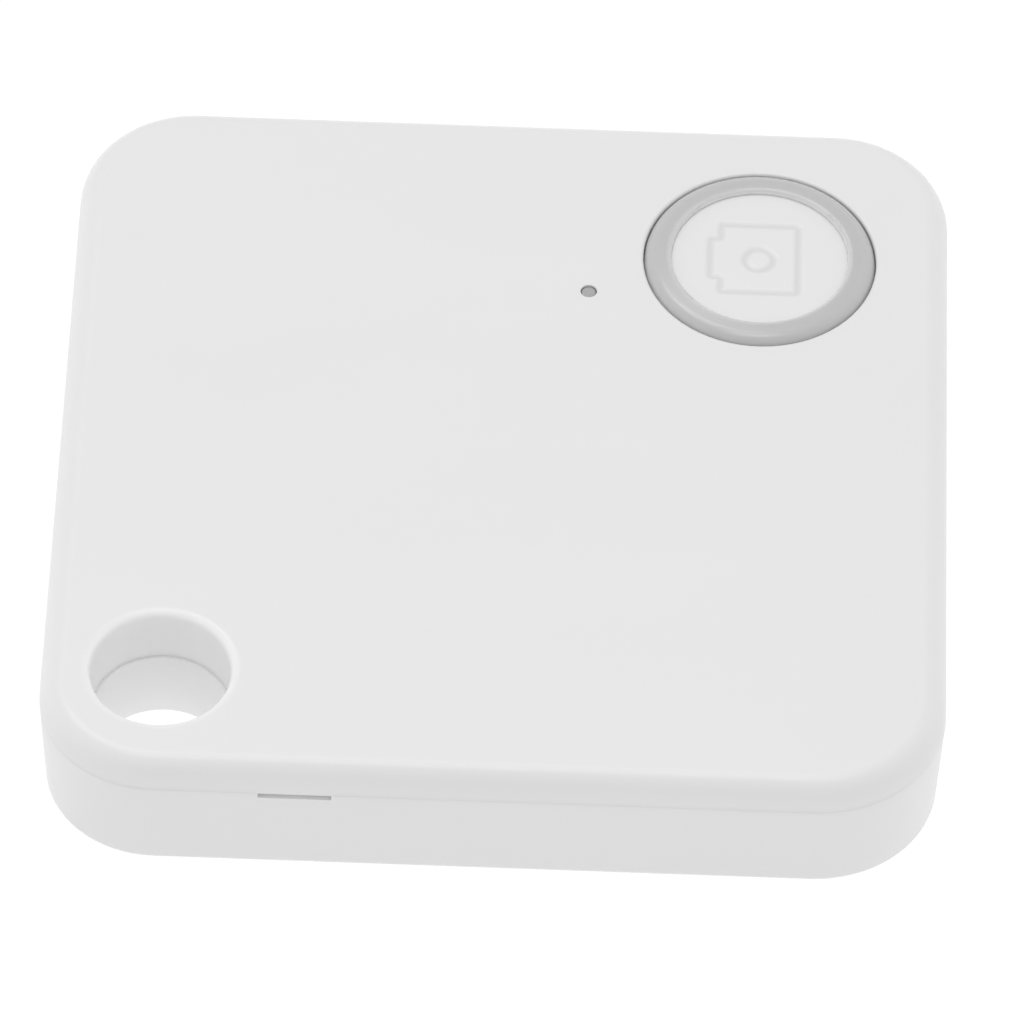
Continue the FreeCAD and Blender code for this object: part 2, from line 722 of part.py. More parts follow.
def switch_cover_plate():
    """Steel plate over the switch, with a folded hook on two sides."""
    bottom = SWITCH_TOP + CLEAR
    plate = softened(block((SWITCH_SIZE, SWITCH_SIZE, PLATE), BUTTON_AT, bottom), 0.3, upright)
    plate = plate.cut(cylinder(PLUNGER_RADIUS + 0.08, 0, FAR, BUTTON_AT))
    drop = 0.9
    across = SWITCH_SIZE / 2 + CLEAR + PLATE / 2
    hooks = []
    for side in (-1, 1):
        at = (BUTTON_AT[0], BUTTON_AT[1] + side * across)
        hooks.append(block((1.4, PLATE, drop + PLATE), at, bottom - drop))
        link = (BUTTON_AT[0], BUTTON_AT[1] + side * (across - PLATE))
        hooks.append(block((1.4, 3 * PLATE, PLATE), link, bottom))
    return plate.multiFuse(hooks).removeSplitter()


def gull_lead(width, length, rise, thickness):
    """Bent lead along +X: out of a body at x = 0, down, and out again on the board."""
    knee = length * 0.4
    lead = outline(
        (0, rise),
        (0, rise + thickness),
        (knee + thickness, rise + thickness, thickness),
        (knee + thickness, thickness),
        (length, thickness),
        (length, 0),
        (knee, 0, thickness),
        (knee, rise),
    )
    lead.translate(Vector(0, -width / 2, 0))
    return lead.extrude(Vector(0, width, 0))


def leads(at, spots, width, length, rise, thickness):
    """Leads round a body: spots are (x, y, direction in degrees) from its centre."""
    solids = []
    for x, y, angle in spots:
        lead = gull_lead(width, length, rise, thickness)
        lead.rotate(Vector(), UP, angle)
        lead.translate(Vector(at[0] + x, at[1] + y, BOARD_TOP))
        solids.append(lead)
    return solids


def switch_terminals():
    out = SWITCH_SIZE / 2
    spots = [(side * out, y, 90 - 90 * side) for side in (-1, 1) for y in (-1.3, 1.3)]
    return group(leads(BUTTON_AT, spots, 0.6, 0.9, 0.35, 0.15))


def buzzer_base():
    return block((BUZZER_SIZE, BUZZER_SIZE, BUZZER_BASE), BUZZER_AT, BOARD_TOP)


def buzzer_case():
    """Moulded hood with a round cavity, a ledge for the diaphragm and a sound port."""
    bottom = BOARD_TOP + BUZZER_BASE
    hood = block((BUZZER_SIZE, BUZZER_SIZE, BUZZER_TOP - bottom), BUZZER_AT, bottom)
    hood = softened(hood, 0.6, upright)
    hood = softened(hood, 0.15, lambda edge: edge.BoundBox.ZMin > BUZZER_TOP - 1e-6)
    ledge_radius, ledge_top = BUZZER_LEDGE
    return hood.cut(
        group(
            [
                cylinder(BUZZER_CAVITY, ledge_top, BUZZER_TOP - BUZZER_ROOF, BUZZER_AT),
                cylinder(ledge_radius, bottom - 1, ledge_top, BUZZER_AT),
                cylinder(BUZZER_PORT, bottom, FAR, (BUZZER_AT[0] - 1.6, BUZZER_AT[1] + 1.6)),
            ]
        )
    )


def buzzer_insides():
    """Core, coil, ring magnet and diaphragm of the buzzer."""
    bottom = BOARD_TOP + BUZZER_BASE
    diaphragm_bottom = BUZZER_LEDGE[1] + CLEAR
    diaphragm = cylinder(BUZZER_CAVITY - 0.05, diaphragm_bottom, diaphragm_bottom + 0.06, BUZZER_AT)
    weight = cylinder(1.1, diaphragm_bottom, diaphragm_bottom + 0.3, BUZZER_AT)
    return {
        "buzzer_core": cylinder(0.7, bottom, 2.9, BUZZER_AT),
        "buzzer_coil": tube(0.75, 1.9, bottom, 2.75, BUZZER_AT),
        "buzzer_magnet": tube(2.05, 2.9, bottom, 2.7, BUZZER_AT),
        "buzzer_diaphragm": diaphragm.fuse(weight).removeSplitter(),
    }


def buzzer_terminals():
    """Solder pads wrapped over the base's four corners."""
    pads = []
    out = BUZZER_SIZE / 2 + 0.05
    for x in (-1, 1):
        for y in (-1, 1):
            at = (BUZZER_AT[0] + x * (BUZZER_SIZE / 2 - 0.9), BUZZER_AT[1] + y * out)
            pads.append(block((1.2, 0.1, BUZZER_BASE), at, BOARD_TOP))
    return group(pads)


def bluetooth_chip():
    body = block(CHIP_SIZE, CHIP_AT, BOARD_TOP)
    body = softened(body, 0.08, lambda edge: edge.BoundBox.ZMin > BOARD_TOP + CHIP_SIZE[2] - 1e-6)
    corner = CHIP_SIZE[0] / 2 - 0.7
    mark = cylinder(0.25, BOARD_TOP + CHIP_SIZE[2] - 0.04, FAR, (CHIP_AT[0] - corner, CHIP_AT[1] - corner))
    return body.cut(mark)


def chip_terminals():
    """Leadless contacts along the chip's four sides."""
    pads = []
    for quarter in range(4):
        for i in range(CHIP_PADS):
            along = (i - (CHIP_PADS - 1) / 2) * CHIP_PITCH
            pad = block((0.24, 0.08, 0.2), (along, CHIP_SIZE[1] / 2 + 0.04), BOARD_TOP)
            pad.rotate(Vector(), UP, 90 * quarter)
            pad.translate(Vector(CHIP_AT[0], CHIP_AT[1], 0))
            pads.append(pad)
    return group(pads)


def crystal_base(size, at):
    return block((size[0], size[1], size[2] * 0.45), at, BOARD_TOP)


def crystal_lid(size, at):
    bottom = BOARD_TOP + size[2] * 0.45
    lid = block((size[0] - 0.3, size[1] - 0.3, size[2] * 0.55), at, bottom)
    lid = softened(lid, 0.25, upright)
    return softened(lid, 0.08, lambda edge: edge.BoundBox.ZMin > BOARD_TOP + size[2] - 1e-6)


def end_capped(size, at, height, end, along_y=False):
    """A two-ended chip: its body, then its two metal ends."""
    if along_y:
        middle = (size[0], size[1] - 2 * end, height)
        cap = (size[0], end, height)
        step = (0, (size[1] - end) / 2)
    else:
        middle = (size[0] - 2 * end, size[1], height)
        cap = (end, size[1], height)
        step = ((size[0] - end) / 2, 0)
    body = block(middle, at, BOARD_TOP)
    ends = [block(cap, (at[0] + side * step[0], at[1] + side * step[1]), BOARD_TOP) for side in (-1, 1)]
    return body, ends


def small_parts(places, height):
    """Bodies and ends of the small chips at the given places."""
    bodies = []
    ends = []
    for x, y, along_y in places:
        size = (SMALL_SIZE[1], SMALL_SIZE[0]) if along_y else SMALL_SIZE
        body, caps = end_capped(size, (x, y), height, SMALL_END, along_y)
        bodies.append(body)
        ends += caps
    return group(bodies), group(ends)


def moulded_chip(size, at):
    """Body of a leaded chip, drafted by its rounded upper edges."""
    body = block((size[0], size[1], size[2] - 0.1), at, BOARD_TOP + 0.1)
    return softened(body, 0.15, lambda edge: edge.BoundBox.ZMin > BOARD_TOP + size[2] - 1e-6)


def transistor_leads():
    out = TRANSISTOR_SIZE[1] / 2
    spots = [(-0.95, -out, 270), (0.95, -out, 270), (0, out, 90)]
    return group(leads(TRANSISTOR_AT, spots, 0.4, 0.55, 0.4, 0.12))


def diode_leads():
    out = DIODE_SIZE[1] / 2
    return group(leads(DIODE_AT, [(0, -out, 270), (0, out, 90)], 0.6, 0.5, 0.35, 0.12))


def led_base():
    return block((LED_SIZE[0], LED_SIZE[1], LED_BASE), LED_AT, BOARD_TOP)


def led_lens():
    lens = block(LED_LENS, LED_AT, BOARD_TOP + LED_BASE)
    return softened(lens, 0.1, lambda edge: edge.BoundBox.ZMin > BOARD_TOP + LED_BASE + LED_LENS[2] - 1e-6)


def build():
    """Every node's shape, by name."""
    bulk_body, bulk_ends = end_capped(BULK_SIZE, BULK_AT, BULK_SIZE[2], 0.4, True)
    inductor_body, inductor_ends = end_capped(INDUCTOR_SIZE, INDUCTOR_AT, INDUCTOR_SIZE[2], 0.3, True)
    capacitors, capacitor_ends = small_parts(CAPACITORS, CAPACITOR_HEIGHT)
    resistors, resistor_ends = small_parts(RESISTORS, RESISTOR_HEIGHT)
    nodes = {
        "bottom_shell": bottom_shell(),
        "top_shell": top_shell(),
        "button_ring": button_ring(),
        "button_disc": button_disc(),
        "led_light_pipe": led_light_pipe(),
        "circuit_board": circuit_board(),
        "antenna_trace": antenna_trace(),
        "negative_contact": negative_contact(),
        "positive_contact_left": positive_contact(180),
        "positive_contact_far": positive_contact(90),
        "battery_can": battery_can(),
        "battery_gasket": battery_gasket(),
        "battery_cap": battery_cap(),
        "switch_base": switch_base(),
        "switch_dome": switch_dome(),
        "switch_plunger": switch_plunger(),
        "switch_cover_plate": switch_cover_plate(),
        "switch_terminals": switch_terminals(),
        "buzzer_base": buzzer_base(),
        "buzzer_case": buzzer_case(),
        "buzzer_terminals": buzzer_terminals(),
        "bluetooth_chip": bluetooth_chip(),
        "chip_terminals": chip_terminals(),
        "main_crystal_base": crystal_base(MAIN_CRYSTAL_SIZE, MAIN_CRYSTAL_AT),
        "main_crystal_lid": crystal_lid(MAIN_CRYSTAL_SIZE, MAIN_CRYSTAL_AT),
        "clock_crystal_base": crystal_base(CLOCK_CRYSTAL_SIZE, CLOCK_CRYSTAL_AT),
        "clock_crystal_lid": crystal_lid(CLOCK_CRYSTAL_SIZE, CLOCK_CRYSTAL_AT),
        "inductor_body": inductor_body,
        "inductor_ends": group(inductor_ends),
        "bulk_capacitor": bulk_body,
        "bulk_capacitor_ends": group(bulk_ends),
        "capacitors": capacitors,
        "capacitor_ends": capacitor_ends,
        "resistors": resistors,
        "resistor_ends": resistor_ends,
        "driver_transistor": moulded_chip(TRANSISTOR_SIZE, TRANSISTOR_AT),
        "transistor_leads": transistor_leads(),
        "flyback_diode": moulded_chip(DIODE_SIZE, DIODE_AT),
        "diode_leads": diode_leads(),
        "led_base": led_base(),
        "led_lens": led_lens(),
    }
    nodes.update(cell_layers())
    nodes.update(buzzer_insides())
    return nodes


os.makedirs("parts", exist_ok=True)
for name, shape in build().items():
    if not shape.isValid():
        raise ValueError(f"{name} is not a valid shape")
    shape.exportStep(f"parts/{name}.step")
    print(f"{name}: {len(shape.Solids)} solids, {shape.Volume:.3f} mm3")
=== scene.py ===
"""Looks of the square Bluetooth tracker tag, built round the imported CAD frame.

All lengths are in metres, in the CAD's own frame: the underside rests on z = 0, +X runs right and
+Y away from the user. Most CAD nodes keep their shape and get a material. The button's disc and the
switch's snap dome are modelled again here, and the board gets its solder, pads, traces and ink.
"""

import json
import math

import bpy
from mathutils import Matrix, Vector


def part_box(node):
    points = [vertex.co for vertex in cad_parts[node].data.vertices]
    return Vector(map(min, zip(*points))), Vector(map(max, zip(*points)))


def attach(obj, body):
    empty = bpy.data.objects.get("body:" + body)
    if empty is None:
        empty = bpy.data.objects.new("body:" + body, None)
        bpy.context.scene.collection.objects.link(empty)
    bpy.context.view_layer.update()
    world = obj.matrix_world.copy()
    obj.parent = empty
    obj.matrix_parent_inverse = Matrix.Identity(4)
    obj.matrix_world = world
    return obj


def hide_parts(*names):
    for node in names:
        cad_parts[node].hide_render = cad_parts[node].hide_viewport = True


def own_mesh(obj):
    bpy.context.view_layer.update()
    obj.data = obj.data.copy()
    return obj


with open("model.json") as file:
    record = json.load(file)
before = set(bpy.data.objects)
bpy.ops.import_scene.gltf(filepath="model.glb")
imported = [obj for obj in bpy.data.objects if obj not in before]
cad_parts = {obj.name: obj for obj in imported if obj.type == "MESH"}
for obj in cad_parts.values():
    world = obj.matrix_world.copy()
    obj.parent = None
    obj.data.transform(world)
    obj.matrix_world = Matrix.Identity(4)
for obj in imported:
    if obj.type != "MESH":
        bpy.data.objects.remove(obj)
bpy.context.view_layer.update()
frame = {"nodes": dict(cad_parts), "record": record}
MM = 0.001
UP = Vector((0, 0, 1))


def middle(node):
    low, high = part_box(node)
    return (Vector(low) + Vector(high)) / 2


def top_of(node):
    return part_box(node)[1][2]


CASE_TOP = top_of("top_shell")
BOARD_TOP = top_of("circuit_board")
BUTTON = middle("button_disc")
CELL = middle("battery_can")
KEYRING_HOLE = next(Vector(m["pos_m"]) for m in frame["record"]["mounts"] if m["name"] == "keyring_hole")


# ---------------------------------------------------------------------------- camera, floor and light
CAMERA_AZIMUTH = math.radians(0.675)
CAMERA_ELEVATION = math.radians(48.8)
CAMERA_ROLL = math.radians(1.509)
CAMERA_DISTANCE = 0.40266
CAMERA_AIM = Vector((0.000402, 0.001183, 0.0))
CAMERA_LENS = 335.6
SENSOR_WIDTH = 36.0

FLOOR_HALF = 3.0
FLOOR_DROP = 0.02 * MM  # keeps the floor's surface just clear of the underside
FLOOR_COLOUR = (0.04, 0.04, 0.04)  # the light table is lit from within, so it shows no shadow
FLOOR_GLOW = 1.0
SKY_LEVEL = 0.585  # brightness of the studio dome at the horizon, before the slopes
SKY_SLOPES = (-0.03, 0.02, 0.17)  # its change towards +X, +Y and +Z: brighter above
SKY_SIDES = (0.40, 0.0, 0.0)  # extra brightness towards the left and the right walls

BACK_PANEL = {"place": (-0.26, 0.52, 1.10), "size": (0.60, 0.42), "power": 2.2}
TOP_PANEL = {"place": (0.0, -0.02, 0.90), "size": (0.32, 0.32), "power": 0.80}


def add_camera():
    level = math.cos(CAMERA_ELEVATION)
    back = Vector(
        (math.sin(CAMERA_AZIMUTH) * level, -math.cos(CAMERA_AZIMUTH) * level, math.sin(CAMERA_ELEVATION))
    )
    data = bpy.data.cameras.new("camera")
    data.lens = CAMERA_LENS
    data.sensor_width = SENSOR_WIDTH
    data.clip_start = 0.01
    data.clip_end = 10.0
    camera = bpy.data.objects.new("camera", data)
    turn = back.to_track_quat("Z", "Y").to_matrix() @ Matrix.Rotation(CAMERA_ROLL, 3, "Z")
    camera.matrix_world = Matrix.Translation(CAMERA_AIM + back * CAMERA_DISTANCE) @ turn.to_4x4()
    bpy.context.scene.collection.objects.link(camera)
    bpy.context.scene.camera = camera


def add_panel(name, place, size, power):
    """Soft rectangular light that faces the tag."""
    data = bpy.data.lights.new(name, "AREA")
    data.shape = "RECTANGLE"
    data.size, data.size_y = size
    data.energy = power
    light = bpy.data.objects.new(name, data)
    towards = Vector(place).to_track_quat("Z", "Y").to_matrix().to_4x4()
    light.matrix_world = Matrix.Translation(Vector(place)) @ towards
    bpy.context.scene.collection.objects.link(light)


def add_floor():
    """White light table: it glows enough to stay white under the tag."""
    half = FLOOR_HALF
    mesh = bpy.data.meshes.new("floor")
    corners = [(-half, -half, 0), (half, -half, 0), (half, half, 0), (-half, half, 0)]
    mesh.from_pydata(corners, [], [(0, 1, 2, 3)])
    floor = bpy.data.objects.new("floor", mesh)
    floor.location.z = -FLOOR_DROP
    bpy.context.scene.collection.objects.link(floor)
    material, shader = new_material("floor_white", FLOOR_COLOUR, 0.9, Specular_IOR_Level=0.0)
    shader.inputs["Emission Color"].default_value = (1, 1, 1, 1)
    shader.inputs["Emission Strength"].default_value = FLOOR_GLOW
    mesh.materials.append(material)


def add_sky():
    """White studio dome: its brightness slopes gently, and rises towards the side walls."""
    world = bpy.data.worlds.new("studio")
    world.use_nodes = True
    nodes = world.node_tree.nodes
    links = world.node_tree.links
    direction = nodes.new("ShaderNodeTexCoord").outputs["Generated"]

    def vector_maths(operation, first, second):
        node = nodes.new("ShaderNodeVectorMath")
        node.operation = operation
        links.new(first, node.inputs[0])
        if isinstance(second, tuple):
            node.inputs[1].default_value = second
        else:
            links.new(second, node.inputs[1])
        return node.outputs

    slope = vector_maths("DOT_PRODUCT", direction, SKY_SLOPES)["Value"]
    squared = vector_maths("MULTIPLY", direction, direction)["Vector"]
    sides = vector_maths("DOT_PRODUCT", squared, SKY_SIDES)["Value"]
    both = nodes.new("ShaderNodeMath")
    links.new(slope, both.inputs[0])
    links.new(sides, both.inputs[1])
    total = nodes.new("ShaderNodeMath")
    total.inputs[1].default_value = SKY_LEVEL
    links.new(both.outputs["Value"], total.inputs[0])
    links.new(total.outputs["Value"], nodes["Background"].inputs["Strength"])
    nodes["Background"].inputs["Color"].default_value = (1, 1, 1, 1)
    scene = bpy.context.scene
    scene.world = world
    scene.view_settings.view_transform = "Standard"
    scene.view_settings.look = "None"


# ---------------------------------------------------------------------------- material helpers
def new_material(name, colour, roughness, metallic=0.0, **constants):
    """Material with its shader. constants set shader sockets, with _ for a space in their names."""
    material = bpy.data.materials.new(name)
    material.use_nodes = True
    shader = material.node_tree.nodes["Principled BSDF"]
    shader.inputs["Base Color"].default_value = (*colour, 1)
    shader.inputs["Roughness"].default_value = roughness
    shader.inputs["Metallic"].default_value = metallic
    for socket, value in constants.items():
        shader.inputs[socket.replace("_", " ")].default_value = value
    return material, shader


def add_node(material, kind, inputs, **settings):
    """Shader node with its settings; an input is a value or another node's output."""
    node = material.node_tree.nodes.new(kind)
    for setting, value in settings.items():
        setattr(node, setting, value)
    for socket, value in inputs.items():
        if isinstance(value, bpy.types.NodeSocket):
            material.node_tree.links.new(value, node.inputs[socket])
        else:
            node.inputs[socket].default_value = value
    return node


def place_in(material, centre=(0, 0, 0)):
    """The surface point in metres, measured from centre."""
    coordinate = add_node(material, "ShaderNodeTexCoord", {})
    moved = add_node(
        material,
        "ShaderNodeVectorMath",
        {0: coordinate.outputs["Object"], 1: tuple(centre)},
        operation="SUBTRACT",
    )
    return moved.outputs["Vector"]


def maths(material, operation, a, b=0.0):
    node = add_node(material, "ShaderNodeMath", {0: a, 1: b}, operation=operation)
    return node.outputs["Value"]


def grain(material, size, detail=2.0, stretch=(1, 1, 1), place=None):
    """Noise from 0 to 1 with blotches about this size, drawn out along an axis by its stretch."""
    place = place or place_in(material)
    scaled = add_node(
        material,
        "ShaderNodeVectorMath",
        {0: place, 1: tuple(1 / (size * long) for long in stretch)},
        operation="MULTIPLY",
    )
    noise = add_node(
        material, "ShaderNodeTexNoise", {"Vector": scaled.outputs["Vector"], "Scale": 1.0, "Detail": detail}
    )
    return noise.outputs["Fac"]


def between(material, factor, low, high, start=0.3, end=0.7):
    node = add_node(
        material,
        "ShaderNodeMapRange",
        {"Value": factor, "From Min": start, "From Max": end, "To Min": low, "To Max": high},
    )
    return node.outputs["Result"]


def tint(material, factor, first, second, start=0.3, end=0.7):
    """Colour that runs from first to second as the factor goes from start to end."""
    ramp = add_node(material, "ShaderNodeValToRGB", {"Fac": factor})
    low, high = ramp.color_ramp.elements
    low.position, high.position = start, end
    low.color, high.color = (*first, 1), (*second, 1)
    return ramp.outputs["Color"]


def blended(material, factor, first, second):
    """Mix of two colours, each a value or an output."""
    node = add_node(material, "ShaderNodeMixRGB", {"Fac": factor, "Color1": first, "Color2": second})
    return node.outputs["Color"]


def connect(material, shader, colour=None, roughness=None, metallic=None):
    links = material.node_tree.links
    for socket, output in (("Base Color", colour), ("Roughness", roughness), ("Metallic", metallic)):
        if output is not None:
            links.new(output, shader.inputs[socket])


def relief(material, shader, *layers):
    """Bumps on the surface: each layer is a height from 0 to 1 and its depth in metres."""
    normal = None
    for height, depth in layers:
        inputs = {"Height": height, "Distance": depth, "Strength": 1.0}
        if normal is not None:
            inputs["Normal"] = normal
        normal = add_node(material, "ShaderNodeBump", inputs).outputs["Normal"]
    material.node_tree.links.new(normal, shader.inputs["Normal"])


def radius_in(material, centre):
    """Distance from a vertical line through centre."""
    flat = add_node(
        material, "ShaderNodeVectorMath", {0: place_in(material, centre), 1: (1, 1, 0)}, operation="MULTIPLY"
    )
    length = add_node(material, "ShaderNodeVectorMath", {0: flat.outputs["Vector"]}, operation="LENGTH")
    return length.outputs["Value"]


def axis_in(material, axis):
    parts = add_node(material, "ShaderNodeSeparateXYZ", {"Vector": place_in(material)})
    return parts.outputs[axis]


def facing_up(material):
    """1 on faces that look up or down, 0 on upright ones."""
    geometry = add_node(material, "ShaderNodeNewGeometry", {})
    parts = add_node(material, "ShaderNodeSeparateXYZ", {"Vector": geometry.outputs["Normal"]})
    return maths(material, "ABSOLUTE", parts.outputs["Z"])


# ---------------------------------------------------------------------------- materials
def moulded(name, shade, variation, roughness, gloss_spread=0.05, texture=1.0, **constants):
    """Moulded plastic: faint flow marks, uneven gloss, orange peel and the tool's fine texture."""
    material, shader = new_material(name, shade, roughness, **constants)
    flow = grain(material, 6.0 * MM, 2.0, (2.5, 1.0, 1.0))
    darker = tuple(value * (1 - variation) for value in shade)
    lighter = tuple(min(1.0, value * (1 + variation)) for value in shade)
    gloss = grain(material, 1.1 * MM, 3.0)
    connect(
        material,
        shader,
        colour=tint(material, flow, darker, lighter),
        roughness=between(material, gloss, roughness - gloss_spread, roughness + gloss_spread),
    )
    peel = grain(material, 0.7 * MM, 1.0)
    tool_texture = grain(material, 0.14 * MM, 1.0)
    relief(material, shader, (peel, 0.0008 * MM * texture), (tool_texture, 0.0004 * MM * texture))
    return material


WHITE = (0.775, 0.775, 0.775)
WHITE_SOFT = {
    "IOR": 1.53,
    "Subsurface_Weight": 0.15,
    "Subsurface_Radius": (1.0, 1.0, 1.0),
    "Subsurface_Scale": 0.5 * MM,
}


KEYRING_PAINTED_LIGHT_RADII = (3.00 * MM, 3.28 * MM)  # radii where the painted light on the hole's wall fades out
KEYRING_PAINTED_LIGHT = (0.89, 0.89, 0.89)


def white_abs():
    """White plastic, painted paler in the keyring hole: painted light on the hole's wall."""
    material = moulded("white_abs", WHITE, 0.005, 0.34, 0.035, **WHITE_SOFT)
    shader = material.node_tree.nodes["Principled BSDF"]
    plain = shader.inputs["Base Color"].links[0].from_socket
    # Painted light: the hole's wall gets a paler colour than the rest of the case.
    hole_painted_light = between(material, radius_in(material, KEYRING_HOLE), 1.0, 0.0, *KEYRING_PAINTED_LIGHT_RADII)
    connect(material, shader, colour=blended(material, hole_painted_light, plain, (*KEYRING_PAINTED_LIGHT, 1)))
    return material


# Painted shade: the colour in the disc's engraved grooves is darkened by this factor.
GROOVE_PAINTED_SHADE = 0.90


def white_abs_painted_groove_shade():
    """The case's white plastic, with painted shade darkening it along the disc's engraved grooves."""
    material = moulded("white_abs_painted_groove_shade", WHITE, 0.005, 0.34, 0.035, **WHITE_SOFT)
    shader = material.node_tree.nodes["Principled BSDF"]
    plain_colour = shader.inputs["Base Color"].links[0].from_socket
    # Painted shade: the mesh's groove mask darkens the colour along the pictogram's lines.
    groove_shade_mask = add_node(material, "ShaderNodeAttribute", {}, attribute_name="engraved")
    groove_shade_colour = tuple(value * GROOVE_PAINTED_SHADE for value in WHITE)
    connect(
        material,
        shader,
        colour=blended(material, groove_shade_mask.outputs["Fac"], plain_colour, (*groove_shade_colour, 1)),
    )
    return material


RING_SHADE = (0.537, 0.534, 0.539)
RING_BORE = 3.745 * MM
RING_PAINTED_LIGHT_WIDTH = (0.05 * MM, 0.26 * MM)  # how far from the bore the painted light on the rim starts to fade and ends
# Painted light: the inner rim's colours, paler on its upright walls than on its top.
RING_RIM_PAINTED_LIGHT_TOP = (0.605, 0.605, 0.61)
RING_RIM_PAINTED_LIGHT_WALL = (0.80, 0.80, 0.80)


def grey_ring():
    """Translucent grey ring. Its inner rim is painted paler, as light from the disc, and paler on its upright
    walls than on its top.
    """
    material = moulded(
        "grey_ring",
        RING_SHADE,
        0.010,
        0.20,
        0.03,
        IOR=1.53,
        Subsurface_Weight=0.75,
        Subsurface_Radius=(1.0, 1.0, 1.0),
        Subsurface_Scale=0.5 * MM,
    )
    shader = material.node_tree.nodes["Principled BSDF"]
    plain = shader.inputs["Base Color"].links[0].from_socket
    fade = [RING_BORE + width for width in RING_PAINTED_LIGHT_WIDTH]
    # Painted light: a paler colour near the bore, stronger on upright faces.
    rim_painted_light = between(material, radius_in(material, BUTTON), 1.0, 0.0, *fade)
    rim_painted_light_colour = tint(material, facing_up(material), RING_RIM_PAINTED_LIGHT_WALL, RING_RIM_PAINTED_LIGHT_TOP, 0.1, 0.7)
    connect(material, shader, colour=blended(material, rim_painted_light, plain, rim_painted_light_colour))
    return material


def light_pipe():
    return moulded("light_pipe", (0.39, 0.39, 0.395), 0.03, 0.18, 0.03, 0.4, IOR=1.58)


def black_plastic():
    return moulded("black_plastic", (0.022, 0.022, 0.024), 0.12, 0.46, 0.07, 2.5)


def switch_button():
    return moulded("switch_button", (0.045, 0.045, 0.048), 0.10, 0.38, 0.05, 1.5)


def led_white():
    return moulded("led_white", (0.74, 0.73, 0.70), 0.03, 0.42)


def cell_gasket():
    return moulded("cell_gasket", (0.10, 0.10, 0.105), 0.10, 0.50)


MASK_COAT = {"Coat_Weight": 0.35, "Coat_Roughness": 0.12}


def board_mask():
    """Green solder mask on glass laminate, whose bare edge shows along the sides."""
    material, shader = new_material("board", (0.016, 0.105, 0.050), 0.32, **MASK_COAT)
    cloud = grain(material, 2.4 * MM, 3.0)
    mask = tint(material, cloud, (0.013, 0.090, 0.042), (0.020, 0.120, 0.058))
    weave_x = grain(material, 0.22 * MM, 0.0, (5.0, 1.0, 1.0))
    weave_y = grain(material, 0.22 * MM, 0.0, (1.0, 5.0, 1.0))
    weave = maths(material, "MULTIPLY", maths(material, "ADD", weave_x, weave_y), 0.5)
    layers = grain(material, 0.09 * MM, 1.0, (8.0, 8.0, 1.0))
    laminate = tint(material, layers, (0.20, 0.17, 0.075), (0.36, 0.31, 0.15))
    upward = between(material, facing_up(material), 0.0, 1.0, 0.45, 0.55)
    connect(
        material,
        shader,
        colour=blended(material, upward, laminate, mask),
        roughness=between(material, grain(material, 0.5 * MM), 0.30, 0.42),
    )
    relief(material, shader, (weave, 0.004 * MM), (grain(material, 0.05 * MM, 2.0), 0.0006 * MM))
    return material


def board_trace():
    """Solder mask over copper: the same green, lighter and smoother."""
    material, shader = new_material("board_trace", (0.045, 0.21, 0.10), 0.28, **MASK_COAT)
    cloud = grain(material, 1.2 * MM, 3.0)
    connect(
        material,
        shader,
        colour=tint(material, cloud, (0.036, 0.180, 0.085), (0.055, 0.235, 0.115)),
        roughness=between(material, grain(material, 0.4 * MM), 0.29, 0.37),
    )
    relief(material, shader, (grain(material, 0.15 * MM, 2.0), 0.0012 * MM))
    return material


def board_ink():
    """Printed white legend, slightly patchy and matt."""
    material, shader = new_material("board_ink", (0.72, 0.72, 0.68), 0.62)
    patches = grain(material, 0.12 * MM, 3.0)
    connect(
        material,
        shader,
        colour=tint(material, patches, (0.60, 0.61, 0.56), (0.78, 0.78, 0.74)),
        roughness=between(material, patches, 0.55, 0.70),
    )
    relief(material, shader, (patches, 0.0025 * MM))
    return material


def metal(name, shade, dull, roughness, brushed=(1, 1, 1), size=0.15, depth=0.0008, spread=0.08):
    """Bare or plated metal: tarnish in blotches and fine marks drawn out along the brushed axis."""
    material, shader = new_material(name, shade, roughness, 1.0)
    tarnish = grain(material, 1.8 * MM, 4.0)
    marks = grain(material, size * MM, 3.0, brushed)
    connect(
        material,
        shader,
        colour=tint(material, tarnish, tuple(value * dull for value in shade), shade),
        roughness=between(material, marks, roughness - spread, roughness + spread),
    )
    relief(material, shader, (marks, depth * MM))
    return material


def gold_plate():
    return metal("gold_plate", (0.93, 0.72, 0.36), 0.88, 0.34, size=0.10, depth=0.0010, spread=0.05)


def contact_spring():
    return metal("contact_spring", (0.66, 0.64, 0.59), 0.90, 0.34, (9, 1, 1), 0.06, 0.0010, 0.05)


def plate_steel():
    return metal("plate_steel", (0.62, 0.62, 0.61), 0.92, 0.36, (1, 14, 1), 0.05, 0.0008, 0.06)


def crystal_lid():
    return metal("crystal_lid", (0.70, 0.67, 0.59), 0.93, 0.33, (10, 1, 1), 0.05, 0.0005, 0.04)


def tinned():
    """Reflowed solder and tinned ends: bright, with a frosty crystal grain."""
    material, shader = new_material("tinned", (0.80, 0.80, 0.79), 0.30, 1.0)
    place = place_in(material)
    cells = add_node(material, "ShaderNodeTexVoronoi", {"Vector": place, "Scale": 1 / (0.09 * MM)})
    frost = grain(material, 0.35 * MM, 3.0)
    connect(
        material,
        shader,
        colour=tint(material, frost, (0.70, 0.70, 0.68), (0.84, 0.84, 0.83)),
        roughness=between(material, frost, 0.29, 0.45),
    )
    relief(material, shader, (cells.outputs["Distance"], 0.0012 * MM), (frost, 0.002 * MM))
    return material


